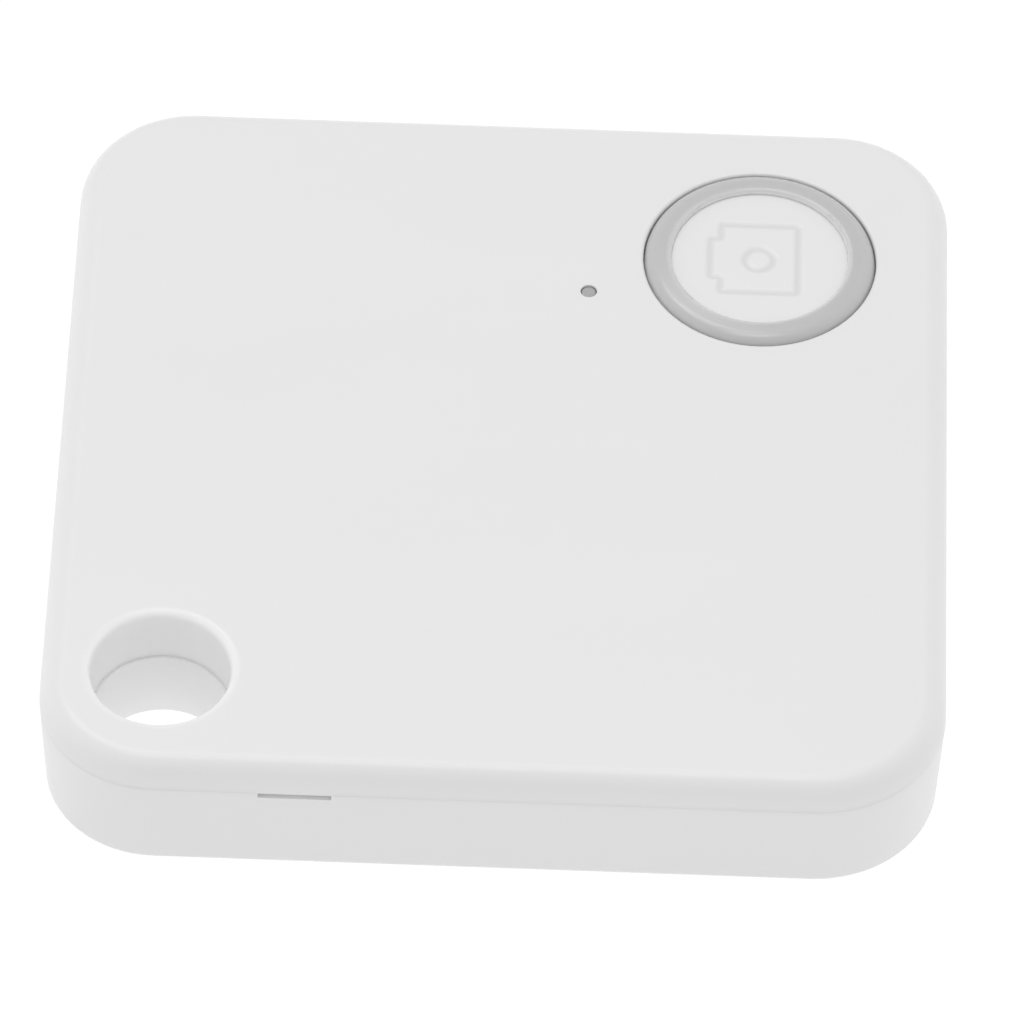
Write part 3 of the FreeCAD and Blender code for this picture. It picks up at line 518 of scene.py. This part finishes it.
def cell_steel():
    """Nickel-plated can: fine turned rings round its middle, and light handling scratches."""
    material, shader = new_material("cell_steel", (0.78, 0.775, 0.76), 0.26, 1.0)
    radius = radius_in(material, CELL)
    turned = maths(material, "MULTIPLY", radius, 1 / (0.05 * MM))
    rings = add_node(
        material, "ShaderNodeTexNoise", {"W": turned, "Scale": 1.0}, noise_dimensions="1D"
    ).outputs["Fac"]
    scratches = grain(material, 0.05 * MM, 1.0, (60, 1.6, 1))
    fine = between(material, scratches, 0.0, 1.0, 0.66, 0.74)
    cloud = grain(material, 4.0 * MM, 3.0)
    connect(
        material,
        shader,
        colour=tint(material, cloud, (0.70, 0.70, 0.69), (0.80, 0.795, 0.78)),
        roughness=maths(
            material, "ADD", between(material, rings, 0.29, 0.36), maths(material, "MULTIPLY", fine, 0.12)
        ),
    )
    relief(material, shader, (rings, 0.0009 * MM), (fine, 0.0007 * MM))
    return material


def magnet_iron():
    return metal("magnet_iron", (0.28, 0.28, 0.29), 0.80, 0.50, size=0.04, depth=0.002)


def lithium():
    return metal("lithium", (0.62, 0.62, 0.64), 0.75, 0.46, (6, 1, 1), 0.20, 0.004)


def coil_copper():
    """Enamelled wire, wound in even turns one above another."""
    enamel = {"Coat_Weight": 0.6, "Coat_Roughness": 0.1}
    material, shader = new_material("coil_copper", (0.62, 0.24, 0.09), 0.28, 1.0, **enamel)
    wave = math.tau / (0.09 * MM)
    turns = maths(material, "SINE", maths(material, "MULTIPLY", axis_in(material, "Z"), wave))
    layers = radius_in(material, middle("buzzer_coil"))
    rows = maths(material, "SINE", maths(material, "MULTIPLY", layers, wave))
    winding_relief_and_shade = between(material, maths(material, "ADD", turns, rows), 0.0, 1.0, -2.0, 2.0)
    # Painted shade: the colour darkens in the grooves between the turns, following the bumps.
    connect(
        material,
        shader,
        colour=tint(material, winding_relief_and_shade, (0.34, 0.11, 0.035), (0.72, 0.30, 0.11)),
        roughness=between(material, grain(material, 0.4 * MM), 0.29, 0.38),
    )
    relief(material, shader, (winding_relief_and_shade, 0.03 * MM))
    return material


def matt(name, shade, variation, roughness, size, depth, spread=0.06, **constants):
    """Sintered, pressed or filled material: speckled colour and a fine grainy surface."""
    material, shader = new_material(name, shade, roughness, **constants)
    speckle = grain(material, size * MM, 4.0)
    cloud = grain(material, 12 * size * MM, 2.0)
    darker = tuple(value * (1 - variation) for value in shade)
    lighter = tuple(min(1.0, value * (1 + variation)) for value in shade)
    factor = maths(material, "MULTIPLY", maths(material, "ADD", speckle, cloud), 0.5)
    connect(
        material,
        shader,
        colour=tint(material, factor, darker, lighter, 0.38, 0.62),
        roughness=between(material, speckle, roughness - spread, roughness + spread),
    )
    relief(material, shader, (speckle, depth * MM))
    return material


def chip_epoxy():
    return matt("chip_epoxy", (0.030, 0.030, 0.032), 0.30, 0.56, 0.035, 0.003)


def chip_ceramic():
    return matt("chip_ceramic", (0.34, 0.28, 0.20), 0.12, 0.50, 0.05, 0.001)


def ferrite():
    return matt("ferrite", (0.075, 0.072, 0.070), 0.20, 0.48, 0.05, 0.003)


def capacitor_ceramic():
    return matt("capacitor_ceramic", (0.46, 0.33, 0.20), 0.10, 0.40, 0.06, 0.0015)


def resistor_ceramic():
    """White alumina block with a black glaze over its upper face."""
    material = matt("resistor_ceramic", (0.72, 0.71, 0.67), 0.05, 0.42, 0.05, 0.001)
    shader = material.node_tree.nodes["Principled BSDF"]
    alumina = shader.inputs["Base Color"].links[0].from_socket
    glaze_from = top_of("resistors") - 0.05 * MM
    glaze = between(material, axis_in(material, "Z"), 0.0, 1.0, glaze_from - 0.01 * MM, glaze_from)
    connect(material, shader, colour=blended(material, glaze, alumina, (0.018, 0.018, 0.020, 1)))
    return material


def cathode_pellet():
    return matt("cathode_pellet", (0.020, 0.020, 0.022), 0.35, 0.85, 0.08, 0.02)


def buzzer_laminate():
    return matt("buzzer_laminate", (0.20, 0.17, 0.08), 0.15, 0.50, 0.09, 0.004)


def separator_paper():
    """Fibrous separator: short fibres pressed into a matt white sheet."""
    material, shader = new_material("separator_paper", (0.78, 0.77, 0.73), 0.85)
    fibres = maths(
        material,
        "ADD",
        grain(material, 0.03 * MM, 1.0, (14, 1, 1)),
        grain(material, 0.03 * MM, 1.0, (1, 14, 1)),
    )
    connect(
        material,
        shader,
        colour=tint(material, fibres, (0.68, 0.67, 0.62), (0.84, 0.83, 0.80), 0.8, 1.2),
        roughness=between(material, fibres, 0.78, 0.92, 0.8, 1.2),
    )
    relief(material, shader, (fibres, 0.006 * MM))
    return material


def led_resin():
    """Clear resin filled with yellow phosphor."""
    return matt("led_resin", (0.78, 0.64, 0.20), 0.10, 0.22, 0.05, 0.001, 0.04, Subsurface_Weight=0.3,
                Subsurface_Scale=0.2 * MM)


SLOT_MATERIALS = {
    "white_abs": white_abs,
    "grey_ring": grey_ring,
    "light_pipe": light_pipe,
    "board": board_mask,
    "gold_plate": gold_plate,
    "contact_spring": contact_spring,
    "cell_steel": cell_steel,
    "cell_gasket": cell_gasket,
    "lithium": lithium,
    "separator_paper": separator_paper,
    "cathode_pellet": cathode_pellet,
    "black_plastic": black_plastic,
    "plate_steel": plate_steel,
    "tinned": tinned,
    "switch_button": switch_button,
    "buzzer_laminate": buzzer_laminate,
    "magnet_iron": magnet_iron,
    "coil_copper": coil_copper,
    "chip_epoxy": chip_epoxy,
    "chip_ceramic": chip_ceramic,
    "crystal_lid": crystal_lid,
    "ferrite": ferrite,
    "capacitor_ceramic": capacitor_ceramic,
    "resistor_ceramic": resistor_ceramic,
    "led_white": led_white,
    "led_resin": led_resin,
}


def dress_nodes(materials):
    """Every CAD node gets the detailed material of its slot."""
    for node in frame["nodes"].values():
        for i, material in enumerate(node.data.materials):
            node.data.materials[i] = materials[material.name.split(".")[0]]


# ---------------------------------------------------------------------------- mesh helpers
class Stack:
    """Closed solids, each skinned over a stack of loops with the same number of points."""

    def __init__(self):
        self.vertices = []
        self.faces = []

    def add(self, loops):
        count = len(loops[0])
        first = len(self.vertices)
        for loop in loops:
            self.vertices += [tuple(point) for point in loop]
        for level in range(len(loops) - 1):
            below = first + level * count
            for i in range(count):
                j = (i + 1) % count
                self.faces.append((below + i, below + j, below + count + j, below + count + i))
        self.faces.append(tuple(first + i for i in reversed(range(count))))
        last = first + (len(loops) - 1) * count
        self.faces.append(tuple(last + i for i in range(count)))

    def piece(self, name, body, slot, material, smooth=True):
        """The finished Blender object, riding on its body."""
        mesh = bpy.data.meshes.new(name)
        mesh.from_pydata(self.vertices, [], self.faces)
        mesh.materials.append(material)
        mesh.update()
        if smooth:
            mesh.shade_smooth()
        piece = bpy.data.objects.new(name, mesh)
        bpy.context.scene.collection.objects.link(piece)
        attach(piece, body)
        return piece


def circle(centre, radius, z, count, height=None):
    """Loop round a vertical line; height, where given, adds to z at each point."""
    loop = []
    for i in range(count):
        turn = math.tau * i / count
        x = centre[0] + radius * math.cos(turn)
        y = centre[1] + radius * math.sin(turn)
        loop.append((x, y, z + (height(x, y) if height else 0.0)))
    return loop


def rounded_rectangle(centre, size, radius, z, steps=4):
    loop = []
    for quarter in range(4):
        side_x = 1 if quarter in (0, 3) else -1
        side_y = 1 if quarter in (0, 1) else -1
        corner_x = centre[0] + side_x * (size[0] / 2 - radius)
        corner_y = centre[1] + side_y * (size[1] / 2 - radius)
        for step in range(steps + 1):
            turn = math.radians(90 * quarter + 90 * step / steps)
            loop.append((corner_x + radius * math.cos(turn), corner_y + radius * math.sin(turn), z))
    return loop


def add_plate(stack, centre, size, radius, bottom, height):
    """Thin pad with rounded corners and a broken upper edge."""
    edge = min(height / 2, radius / 2)
    smaller = (size[0] - 2 * edge, size[1] - 2 * edge)
    stack.add(
        [
            rounded_rectangle(centre, size, radius, bottom),
            rounded_rectangle(centre, size, radius, bottom + height - edge),
            rounded_rectangle(centre, smaller, radius - edge, bottom + height),
        ]
    )


def add_ribbon(stack, points, width, bottom, height):
    """Flat line along the points, mitred at its corners, with sloping flanks."""
    path = [Vector((*point, 0)) for point in points]
    loops = []
    for i, here in enumerate(path):
        before = (here - path[i - 1]).normalized() if i else (path[1] - here).normalized()
        after = (path[i + 1] - here).normalized() if i + 1 < len(path) else before
        along = (before + after).normalized()
        across = UP.cross(along) / max(0.3, along.dot(before))
        foot = across * (width / 2)
        crest = across * max(width / 2 - height, width / 4)
        loops.append(
            [
                here - foot + UP * bottom,
                here + foot + UP * bottom,
                here + crest + UP * (bottom + height),
                here - crest + UP * (bottom + height),
            ]
        )
    stack.add(loops)


def solids_of(node):
    """Lowest and highest corner of each separate solid in a CAD node."""
    mesh = frame["nodes"][node].data
    joined = {}

    def root(key):
        while joined[key] != key:
            joined[key] = joined[joined[key]]
            key = joined[key]
        return key

    keys = []
    for vertex in mesh.vertices:
        key = tuple(round(value / (0.001 * MM)) for value in vertex.co)
        keys.append(key)
        joined.setdefault(key, key)
    for polygon in mesh.polygons:
        first = root(keys[polygon.vertices[0]])
        for vertex in polygon.vertices[1:]:
            joined[root(keys[vertex])] = first
    boxes = {}
    for vertex, key in zip(mesh.vertices, keys):
        low, high = boxes.setdefault(root(key), (vertex.co.copy(), vertex.co.copy()))
        for axis in range(3):
            low[axis] = min(low[axis], vertex.co[axis])
            high[axis] = max(high[axis], vertex.co[axis])
    return sorted(boxes.values(), key=lambda box: tuple(box[0]))


# ---------------------------------------------------------------------------- button disc
DISC_SEGMENTS = 384
DISC_STEP = 0.045 * MM
ICON_HALF_LINE = 0.25 * MM
ICON_DEPTH = 0.045 * MM
ICON_BODY = (-1.65 * MM, 1.62 * MM, 1.92 * MM)  # left, right and half height from the disc's middle
ICON_HUMP = (-2.10 * MM, 1.10 * MM)  # left and half height
ICON_LENS = (-0.03 * MM, -0.05 * MM, 0.60 * MM)  # X, Y and radius


def icon_path():
    """Corners of the camera pictogram's outline, its hump towards -X."""
    left, right, half = ICON_BODY
    hump, hump_half = ICON_HUMP
    return [
        (left, hump_half), (left, half), (right, half), (right, -half), (left, -half),
        (left, -hump_half), (hump, -hump_half), (hump, hump_half), (left, hump_half),
    ]


def soft_corners(path, reach, steps=4):
    """The closed path with each corner turned into a short curve."""
    points = [Vector(corner) for corner in path[:-1]]
    soft = []
    for before, corner, after in zip(points[-1:] + points, points, points[1:] + points[:1]):
        start = corner + (before - corner).normalized() * reach
        end = corner + (after - corner).normalized() * reach
        for step in range(steps + 1):
            t = step / steps
            soft.append(start * (1 - t) ** 2 + corner * 2 * t * (1 - t) + end * t**2)
    return soft + soft[:1]


ICON_CORNER = 0.16 * MM
ICON_PATH = soft_corners(icon_path(), ICON_CORNER)


def distance_to_icon(x, y):
    """How far a point of the disc is from the pictogram's nearest centre line."""
    point = Vector((x - BUTTON.x, y - BUTTON.y))
    lens = Vector(ICON_LENS[:2])
    nearest = abs((point - lens).length - ICON_LENS[2])
    for start, end in zip(ICON_PATH, ICON_PATH[1:]):
        run = end - start
        share = max(0.0, min(1.0, (point - start).dot(run) / run.length_squared))
        nearest = min(nearest, (point - start - run * share).length)
    return nearest


def engraving(x, y):
    """0 on the plain face, 1 along the middle of a line."""
    share = distance_to_icon(x, y) / ICON_HALF_LINE
    return 0.5 + 0.5 * math.cos(math.pi * share) if share < 1 else 0.0


def button_disc(material):
    """The disc with its pictogram pressed in as soft-edged grooves."""
    low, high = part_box("button_disc")
    flange = (high[0] - low[0]) / 2
    radius = 3.742 * MM
    edge = 0.12 * MM
    edge_drop = 0.02 * MM
    shoulder = top_of("button_disc") - 0.77 * MM
    flange_bottom = shoulder - 0.58 * MM
    stem = 1.40 * MM
    profile = [
        (0.02 * MM, low[2]),
        (stem - 0.1 * MM, low[2]),
        (stem, low[2] + 0.1 * MM),
        (stem, flange_bottom - 0.2 * MM),
        (stem + 0.06 * MM, flange_bottom - 0.06 * MM),
        (stem + 0.2 * MM, flange_bottom),
        (flange - 0.03 * MM, flange_bottom),
        (flange, flange_bottom + 0.03 * MM),
        (flange, shoulder - 0.03 * MM),
        (flange - 0.03 * MM, shoulder),
        (radius, shoulder),
    ]
    steps = 8
    for step in range(steps + 1):
        turn = math.pi / 2 * step / steps
        sunk = edge_drop * (1 - math.sin(turn))
        profile.append((radius - edge + edge * math.cos(turn), high[2] - sunk))
    loops = [circle(BUTTON, r, z, DISC_SEGMENTS) for r, z in profile]
    rings = int((radius - edge) / DISC_STEP)
    for ring in range(rings - 1, 0, -1):
        r = (radius - edge) * ring / rings
        loops.append(circle(BUTTON, r, high[2], DISC_SEGMENTS, lambda x, y: -ICON_DEPTH * engraving(x, y)))
    stack = Stack()
    stack.add(loops)
    piece = stack.piece("button_disc_face", "button", "white_abs", material)
    # Painted shade: this mask of the grooves darkens their colour in the disc's material.
    groove_shade_mask = piece.data.attributes.new("engraved", "FLOAT", "POINT")
    on_face = high[2] - 2 * ICON_DEPTH
    groove_shade_mask.data.foreach_set(
        "value",
        [engraving(v.co.x, v.co.y) if v.co.z > on_face else 0.0 for v in piece.data.vertices],
    )
    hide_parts("button_disc")


# ---------------------------------------------------------------------------- switch dome
DOME_SEGMENTS = 96
DOME_STEPS = 14


def snap_dome(material):
    """Thin domed spring with a shallow dimple in its middle, built at rest; the real one flattens when
    pressed.
    """
    low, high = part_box("switch_dome")
    centre = middle("switch_dome")
    radius = (high[0] - low[0]) / 2
    rise = high[2] - low[2]
    sheet = 0.05 * MM

    def height(share):
        return rise * (1 - share**2) * (1 - 0.12 * math.exp(-((share / 0.22) ** 2)))

    loops = []
    for step in range(DOME_STEPS + 1):
        share = 0.01 + 0.99 * step / DOME_STEPS
        loops.append(circle(centre, radius * share, low[2] + max(0.0, height(share) - sheet), DOME_SEGMENTS))
    for step in range(DOME_STEPS, -1, -1):
        share = 0.01 + 0.99 * step / DOME_STEPS
        lift = max(height(share), sheet * 0.6)
        loops.append(circle(centre, radius * share, low[2] + lift, DOME_SEGMENTS))
    stack = Stack()
    stack.add(loops)
    piece = stack.piece("snap_dome", "base", "plate_steel", material)
    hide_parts("switch_dome")
    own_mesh(piece)


# ---------------------------------------------------------------------------- solder, pads and traces
PAD_THICK = 0.018 * MM
TRACE_THICK = 0.014 * MM
TRACE_STEP = 0.0006 * MM  # neighbouring traces differ by this, so that no two share one height
INK_THICK = 0.010 * MM
FILLET_REACH = 0.20 * MM
TERMINAL_NODES = {
    "capacitor_ends": "capacitors",
    "resistor_ends": "resistors",
    "inductor_ends": "inductor_body",
    "bulk_capacitor_ends": "bulk_capacitor",
    "transistor_leads": "driver_transistor",
    "diode_leads": "flyback_diode",
    "switch_terminals": "switch_base",
    "chip_terminals": "bluetooth_chip",
    "buzzer_terminals": "buzzer_base",
}


def outward(terminal, bodies):
    """Unit step, along X or Y, from the nearest body towards the terminal."""
    here = (terminal[0] + terminal[1]) / 2
    nearest = min(((low + high) / 2 for low, high in bodies), key=lambda point: (point - here).length)
    offset = here - nearest
    half = min(bodies, key=lambda box: ((box[0] + box[1]) / 2 - here).length)
    size = half[1] - half[0]
    if abs(offset.x) / size.x > abs(offset.y) / size.y:
        return Vector((math.copysign(1, offset.x), 0, 0))
    return Vector((0, math.copysign(1, offset.y), 0))


def add_fillet(stack, face, along, half_width, height, reach):
    """Concave run of solder from an upright metal face down to its pad."""
    across = UP.cross(along)
    loops = []
    steps = 7
    ribs = 8
    for step in range(steps + 1):
        share = step / steps
        crest = height * (1 - share) ** 2 + 0.012 * MM
        half = half_width * (1.0 + 0.12 * math.sin(math.pi * share)) * (1 - 0.25 * share**4)
        start = face + along * (reach * share)
        loop = [start - across * half + UP * (BOARD_TOP - face.z)]
        for rib in range(ribs + 1):
            side = -1 + 2 * rib / ribs
            lift = crest * max(0.0, 1 - abs(side) ** 3.0)
            loop.append(start + across * (half * side) + UP * (BOARD_TOP - face.z + PAD_THICK * 0.5 + lift))
        loop.append(start + across * half + UP * (BOARD_TOP - face.z))
        loops.append(list(reversed(loop)))
    stack.add(loops)


def solder_joints(tin, gold):
    """A pad and a solder fillet at every terminal on the board. Returns the pads' outer ends."""
    solder = Stack()
    pads = Stack()
    ends = []
    for terminals, bodies in TERMINAL_NODES.items():
        body_boxes = solids_of(bodies)
        for low, high in solids_of(terminals):
            along = outward((low, high), body_boxes)
            centre = (low + high) / 2
            size = high - low
            half_along = abs(size.dot(along)) / 2
            width = abs(size.dot(UP.cross(along)))
            face = centre + along * half_along
            face.z = BOARD_TOP
            fine = width < 0.3 * MM
            reach = FILLET_REACH * (0.6 if fine else 1.0)
            height = min(size.z * 0.6, 0.30 * MM)
            if terminals in ("transistor_leads", "diode_leads", "switch_terminals"):
                height = 0.10 * MM
            add_fillet(solder, face - along * 0.01 * MM, along, width * 0.47, height, reach)
            margin = 0.02 * MM if fine else 0.06 * MM
            foot = min(2 * half_along, 0.6 * MM)
            length = foot + reach + 0.05 * MM
            pad_centre = face + along * (reach + 0.05 * MM - length / 2)
            pad_size = (length, width + 2 * margin) if along.x else (width + 2 * margin, length)
            add_plate(pads, pad_centre, pad_size, 0.05 * MM, BOARD_TOP, PAD_THICK)
            ends.append((face + along * (reach + 0.02 * MM), along, terminals))
    solder.piece("solder_fillets", "base", "tinned", tin)
    pads.piece("solder_pads", "base", "gold_plate", gold, smooth=False)
    return ends


def clear_of(point, boxes, margin):
    """Whether a point of the board is outside every box, with this margin."""
    for low, high in boxes:
        inside_x = low[0] - margin < point.x < high[0] + margin
        inside_y = low[1] - margin < point.y < high[1] + margin
        if inside_x and inside_y:
            return False
    return True


def fan_out(ends, trace_material, gold):
    """A short masked trace from each pad, jogging sideways to a plated via where there is room."""
    traces = Stack()
    vias = Stack()
    taken = [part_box(name) for name in frame["nodes"] if name in BOARD_PARTS]
    for node in ("capacitors", "resistors"):
        taken += solids_of(node)
    used = []
    edge_low, edge_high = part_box("circuit_board")
    for i, (start, along, terminals) in enumerate(ends):
        fine = terminals == "chip_terminals"
        width = (0.11 if fine else 0.22) * MM
        straight = (0.30 + 0.22 * (i % 3)) * MM
        side = UP.cross(along) * (1 if i % 2 else -1)
        bend = start + along * straight
        finish = bend + (along + side) * (0.16 if fine else 0.34) * MM
        inside = all(edge_low[axis] + 0.6 * MM < finish[axis] < edge_high[axis] - 0.6 * MM for axis in (0, 1))
        alone = all((finish - other).length > 0.46 * MM for other in used)
        if not (inside and alone and clear_of(finish, taken, 0.22 * MM)):
            continue
        used.append(finish)
        path = [(start.x, start.y), (bend.x, bend.y), (finish.x, finish.y)]
        add_ribbon(traces, path, width, BOARD_TOP, TRACE_THICK - TRACE_STEP * (i % 9))
        add_via(vias, finish)
    for route in LONG_ROUTES:
        points = [(x * MM, y * MM) for x, y in route]
        add_ribbon(traces, points, 0.28 * MM, BOARD_TOP, TRACE_THICK)
        for point in (points[0], points[-1]):
            add_via(vias, Vector((*point, 0)))
    traces.piece("board_traces", "base", "board", trace_material, smooth=False)
    vias.piece("plated_vias", "base", "gold_plate", gold)


def add_via(vias, at):
    """Small plated ring with a dimple in its middle."""
    outer = 0.17 * MM
    hole = 0.08 * MM
    top = BOARD_TOP + TRACE_THICK + 0.004 * MM
    vias.add(
        [
            circle(at, outer, BOARD_TOP, 20),
            circle(at, outer, top - 0.004 * MM, 20),
            circle(at, outer - 0.01 * MM, top, 20),
            circle(at, hole + 0.015 * MM, top, 20),
            circle(at, hole, top - 0.006 * MM, 20),
            circle(at, hole * 0.5, BOARD_TOP + 0.002 * MM, 20),
        ]
    )


BOARD_PARTS = (
    "bluetooth_chip", "chip_terminals", "main_crystal_base", "clock_crystal_base", "inductor_ends",
    "bulk_capacitor_ends", "driver_transistor", "transistor_leads", "flyback_diode", "diode_leads",
    "switch_base", "switch_terminals", "buzzer_base", "buzzer_terminals", "led_base",
    "positive_contact_left", "positive_contact_far", "antenna_trace",
)

# Longer routes across the open parts of the board, in millimetres
LONG_ROUTES = (
    [(-9.9, 8.3), (-11.2, 7.0), (-14.8, 7.0), (-15.7, 6.1), (-15.7, -3.4)],
    [(-13.3, 6.2), (-14.2, 5.3), (-14.2, 4.2)],
    [(4.4, -12.9), (1.5, -14.6), (-6.0, -14.6), (-7.6, -13.0)],
    [(7.3, -15.9), (3.6, -15.9), (2.9, -15.2), (-5.0, -15.2)],
    [(9.0, 6.2), (7.6, 7.6), (7.6, 9.1)],
    [(15.7, 8.0), (15.7, 12.6), (14.2, 14.1)],
    [(8.9, 15.4), (7.2, 15.4), (6.6, 14.8)],
    [(9.3, -6.4), (8.7, -5.8), (8.7, 0.1), (9.3, 0.7)],
    [(16.1, -5.6), (16.1, -1.9)],
    [(4.9, 12.6), (5.9, 13.6), (7.5, 13.6)],
)

OUTLINED = ("bluetooth_chip", "main_crystal_base", "clock_crystal_base", "bulk_capacitor_ends",
            "driver_transistor", "flyback_diode", "switch_base", "buzzer_base", "led_base", "inductor_ends")


def printed_legend(ink):
    """White corner marks round the larger parts, a dot at the chip's first contact and a bar beside the
    diode.
    """
    legend = Stack()
    line = 0.10 * MM
    for name in OUTLINED:
        low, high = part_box(name)
        gap = 0.42 * MM if name in ("bluetooth_chip", "switch_base", "driver_transistor") else 0.24 * MM
        x0, y0, x1, y1 = low[0] - gap, low[1] - gap, high[0] + gap, high[1] + gap
        arm = min(x1 - x0, y1 - y0) * 0.26
        for x, y, to_x, to_y in ((x0, y0, 1, 1), (x1, y0, -1, 1), (x1, y1, -1, -1), (x0, y1, 1, -1)):
            add_ribbon(legend, [(x + to_x * arm, y), (x, y), (x, y + to_y * arm)], line, BOARD_TOP, INK_THICK)
    low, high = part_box("bluetooth_chip")
    first = Vector((low[0] - 0.62 * MM, low[1] - 0.62 * MM, 0))
    add_dot(legend, first, 0.16 * MM, BOARD_TOP, INK_THICK)
    low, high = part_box("flyback_diode")
    beyond = high[1] + 0.62 * MM
    add_ribbon(legend, [(low[0], beyond), (high[0], beyond)], 0.14 * MM, BOARD_TOP, INK_THICK)
    legend.piece("printed_legend", "base", "board", ink, smooth=False)


def add_dot(stack, at, radius, bottom, height):
    stack.add(
        [
            circle(at, radius, bottom, 32),
            circle(at, radius, bottom + height * 0.6, 32),
            circle(at, radius - height * 0.4, bottom + height, 32),
        ]
    )


TEST_PADS = ((-12.6, -7.2), (-11.6, -8.6), (-10.4, -9.9), (10.6, -5.9), (4.6, -11.0), (6.4, 8.6))


def test_pads(gold):
    """Round gold pads for the factory's test pins."""
    pads = Stack()
    for x, y in TEST_PADS:
        add_dot(pads, Vector((x * MM, y * MM, 0)), 0.42 * MM, BOARD_TOP, PAD_THICK)
    pads.piece("test_pads", "base", "gold_plate", gold)


# ---------------------------------------------------------------------------- marks of moulding
PIN_MARKS = ((-10.5, 12.5, 1.2), (12.6, -12.2, 1.2), (-12.0, 1.0, 1.0), (1.5, -13.0, 1.0), (-2.0, -2.0, 0.6))
MARK_RISE = 0.03 * MM


def pin_marks(white):
    """Low rings that the mould's ejector pins leave under the cover's roof."""
    roof = CASE_TOP - 0.8 * MM
    marks = Stack()
    for x, y, radius in PIN_MARKS:
        profile = [
            (radius * MM, roof + MARK_RISE),
            (radius * MM, roof - 0.6 * MARK_RISE),
            (radius * MM - 0.4 * MARK_RISE, roof - MARK_RISE),
            (radius * MM - 2.0 * MARK_RISE, roof - MARK_RISE),
            (radius * MM - 2.6 * MARK_RISE, roof - 0.4 * MARK_RISE),
            (radius * 0.1 * MM, roof - 0.3 * MARK_RISE),
        ]
        at = (x * MM, y * MM)
        marks.add([list(reversed(circle(at, r, z, 48))) for r, z in profile])
    marks.piece("cover_pin_marks", "cover", "white_abs", white)


# ---------------------------------------------------------------------------- the scene
add_camera()
add_sky()
add_floor()
add_panel("back_panel", **BACK_PANEL)
add_panel("top_panel", **TOP_PANEL)

looks = {slot: make() for slot, make in SLOT_MATERIALS.items()}
dress_nodes(looks)
button_disc(white_abs_painted_groove_shade())
snap_dome(looks["plate_steel"])
pad_ends = solder_joints(looks["tinned"], looks["gold_plate"])
fan_out(pad_ends, board_trace(), looks["gold_plate"])
printed_legend(board_ink())
test_pads(looks["gold_plate"])
pin_marks(looks["white_abs"])
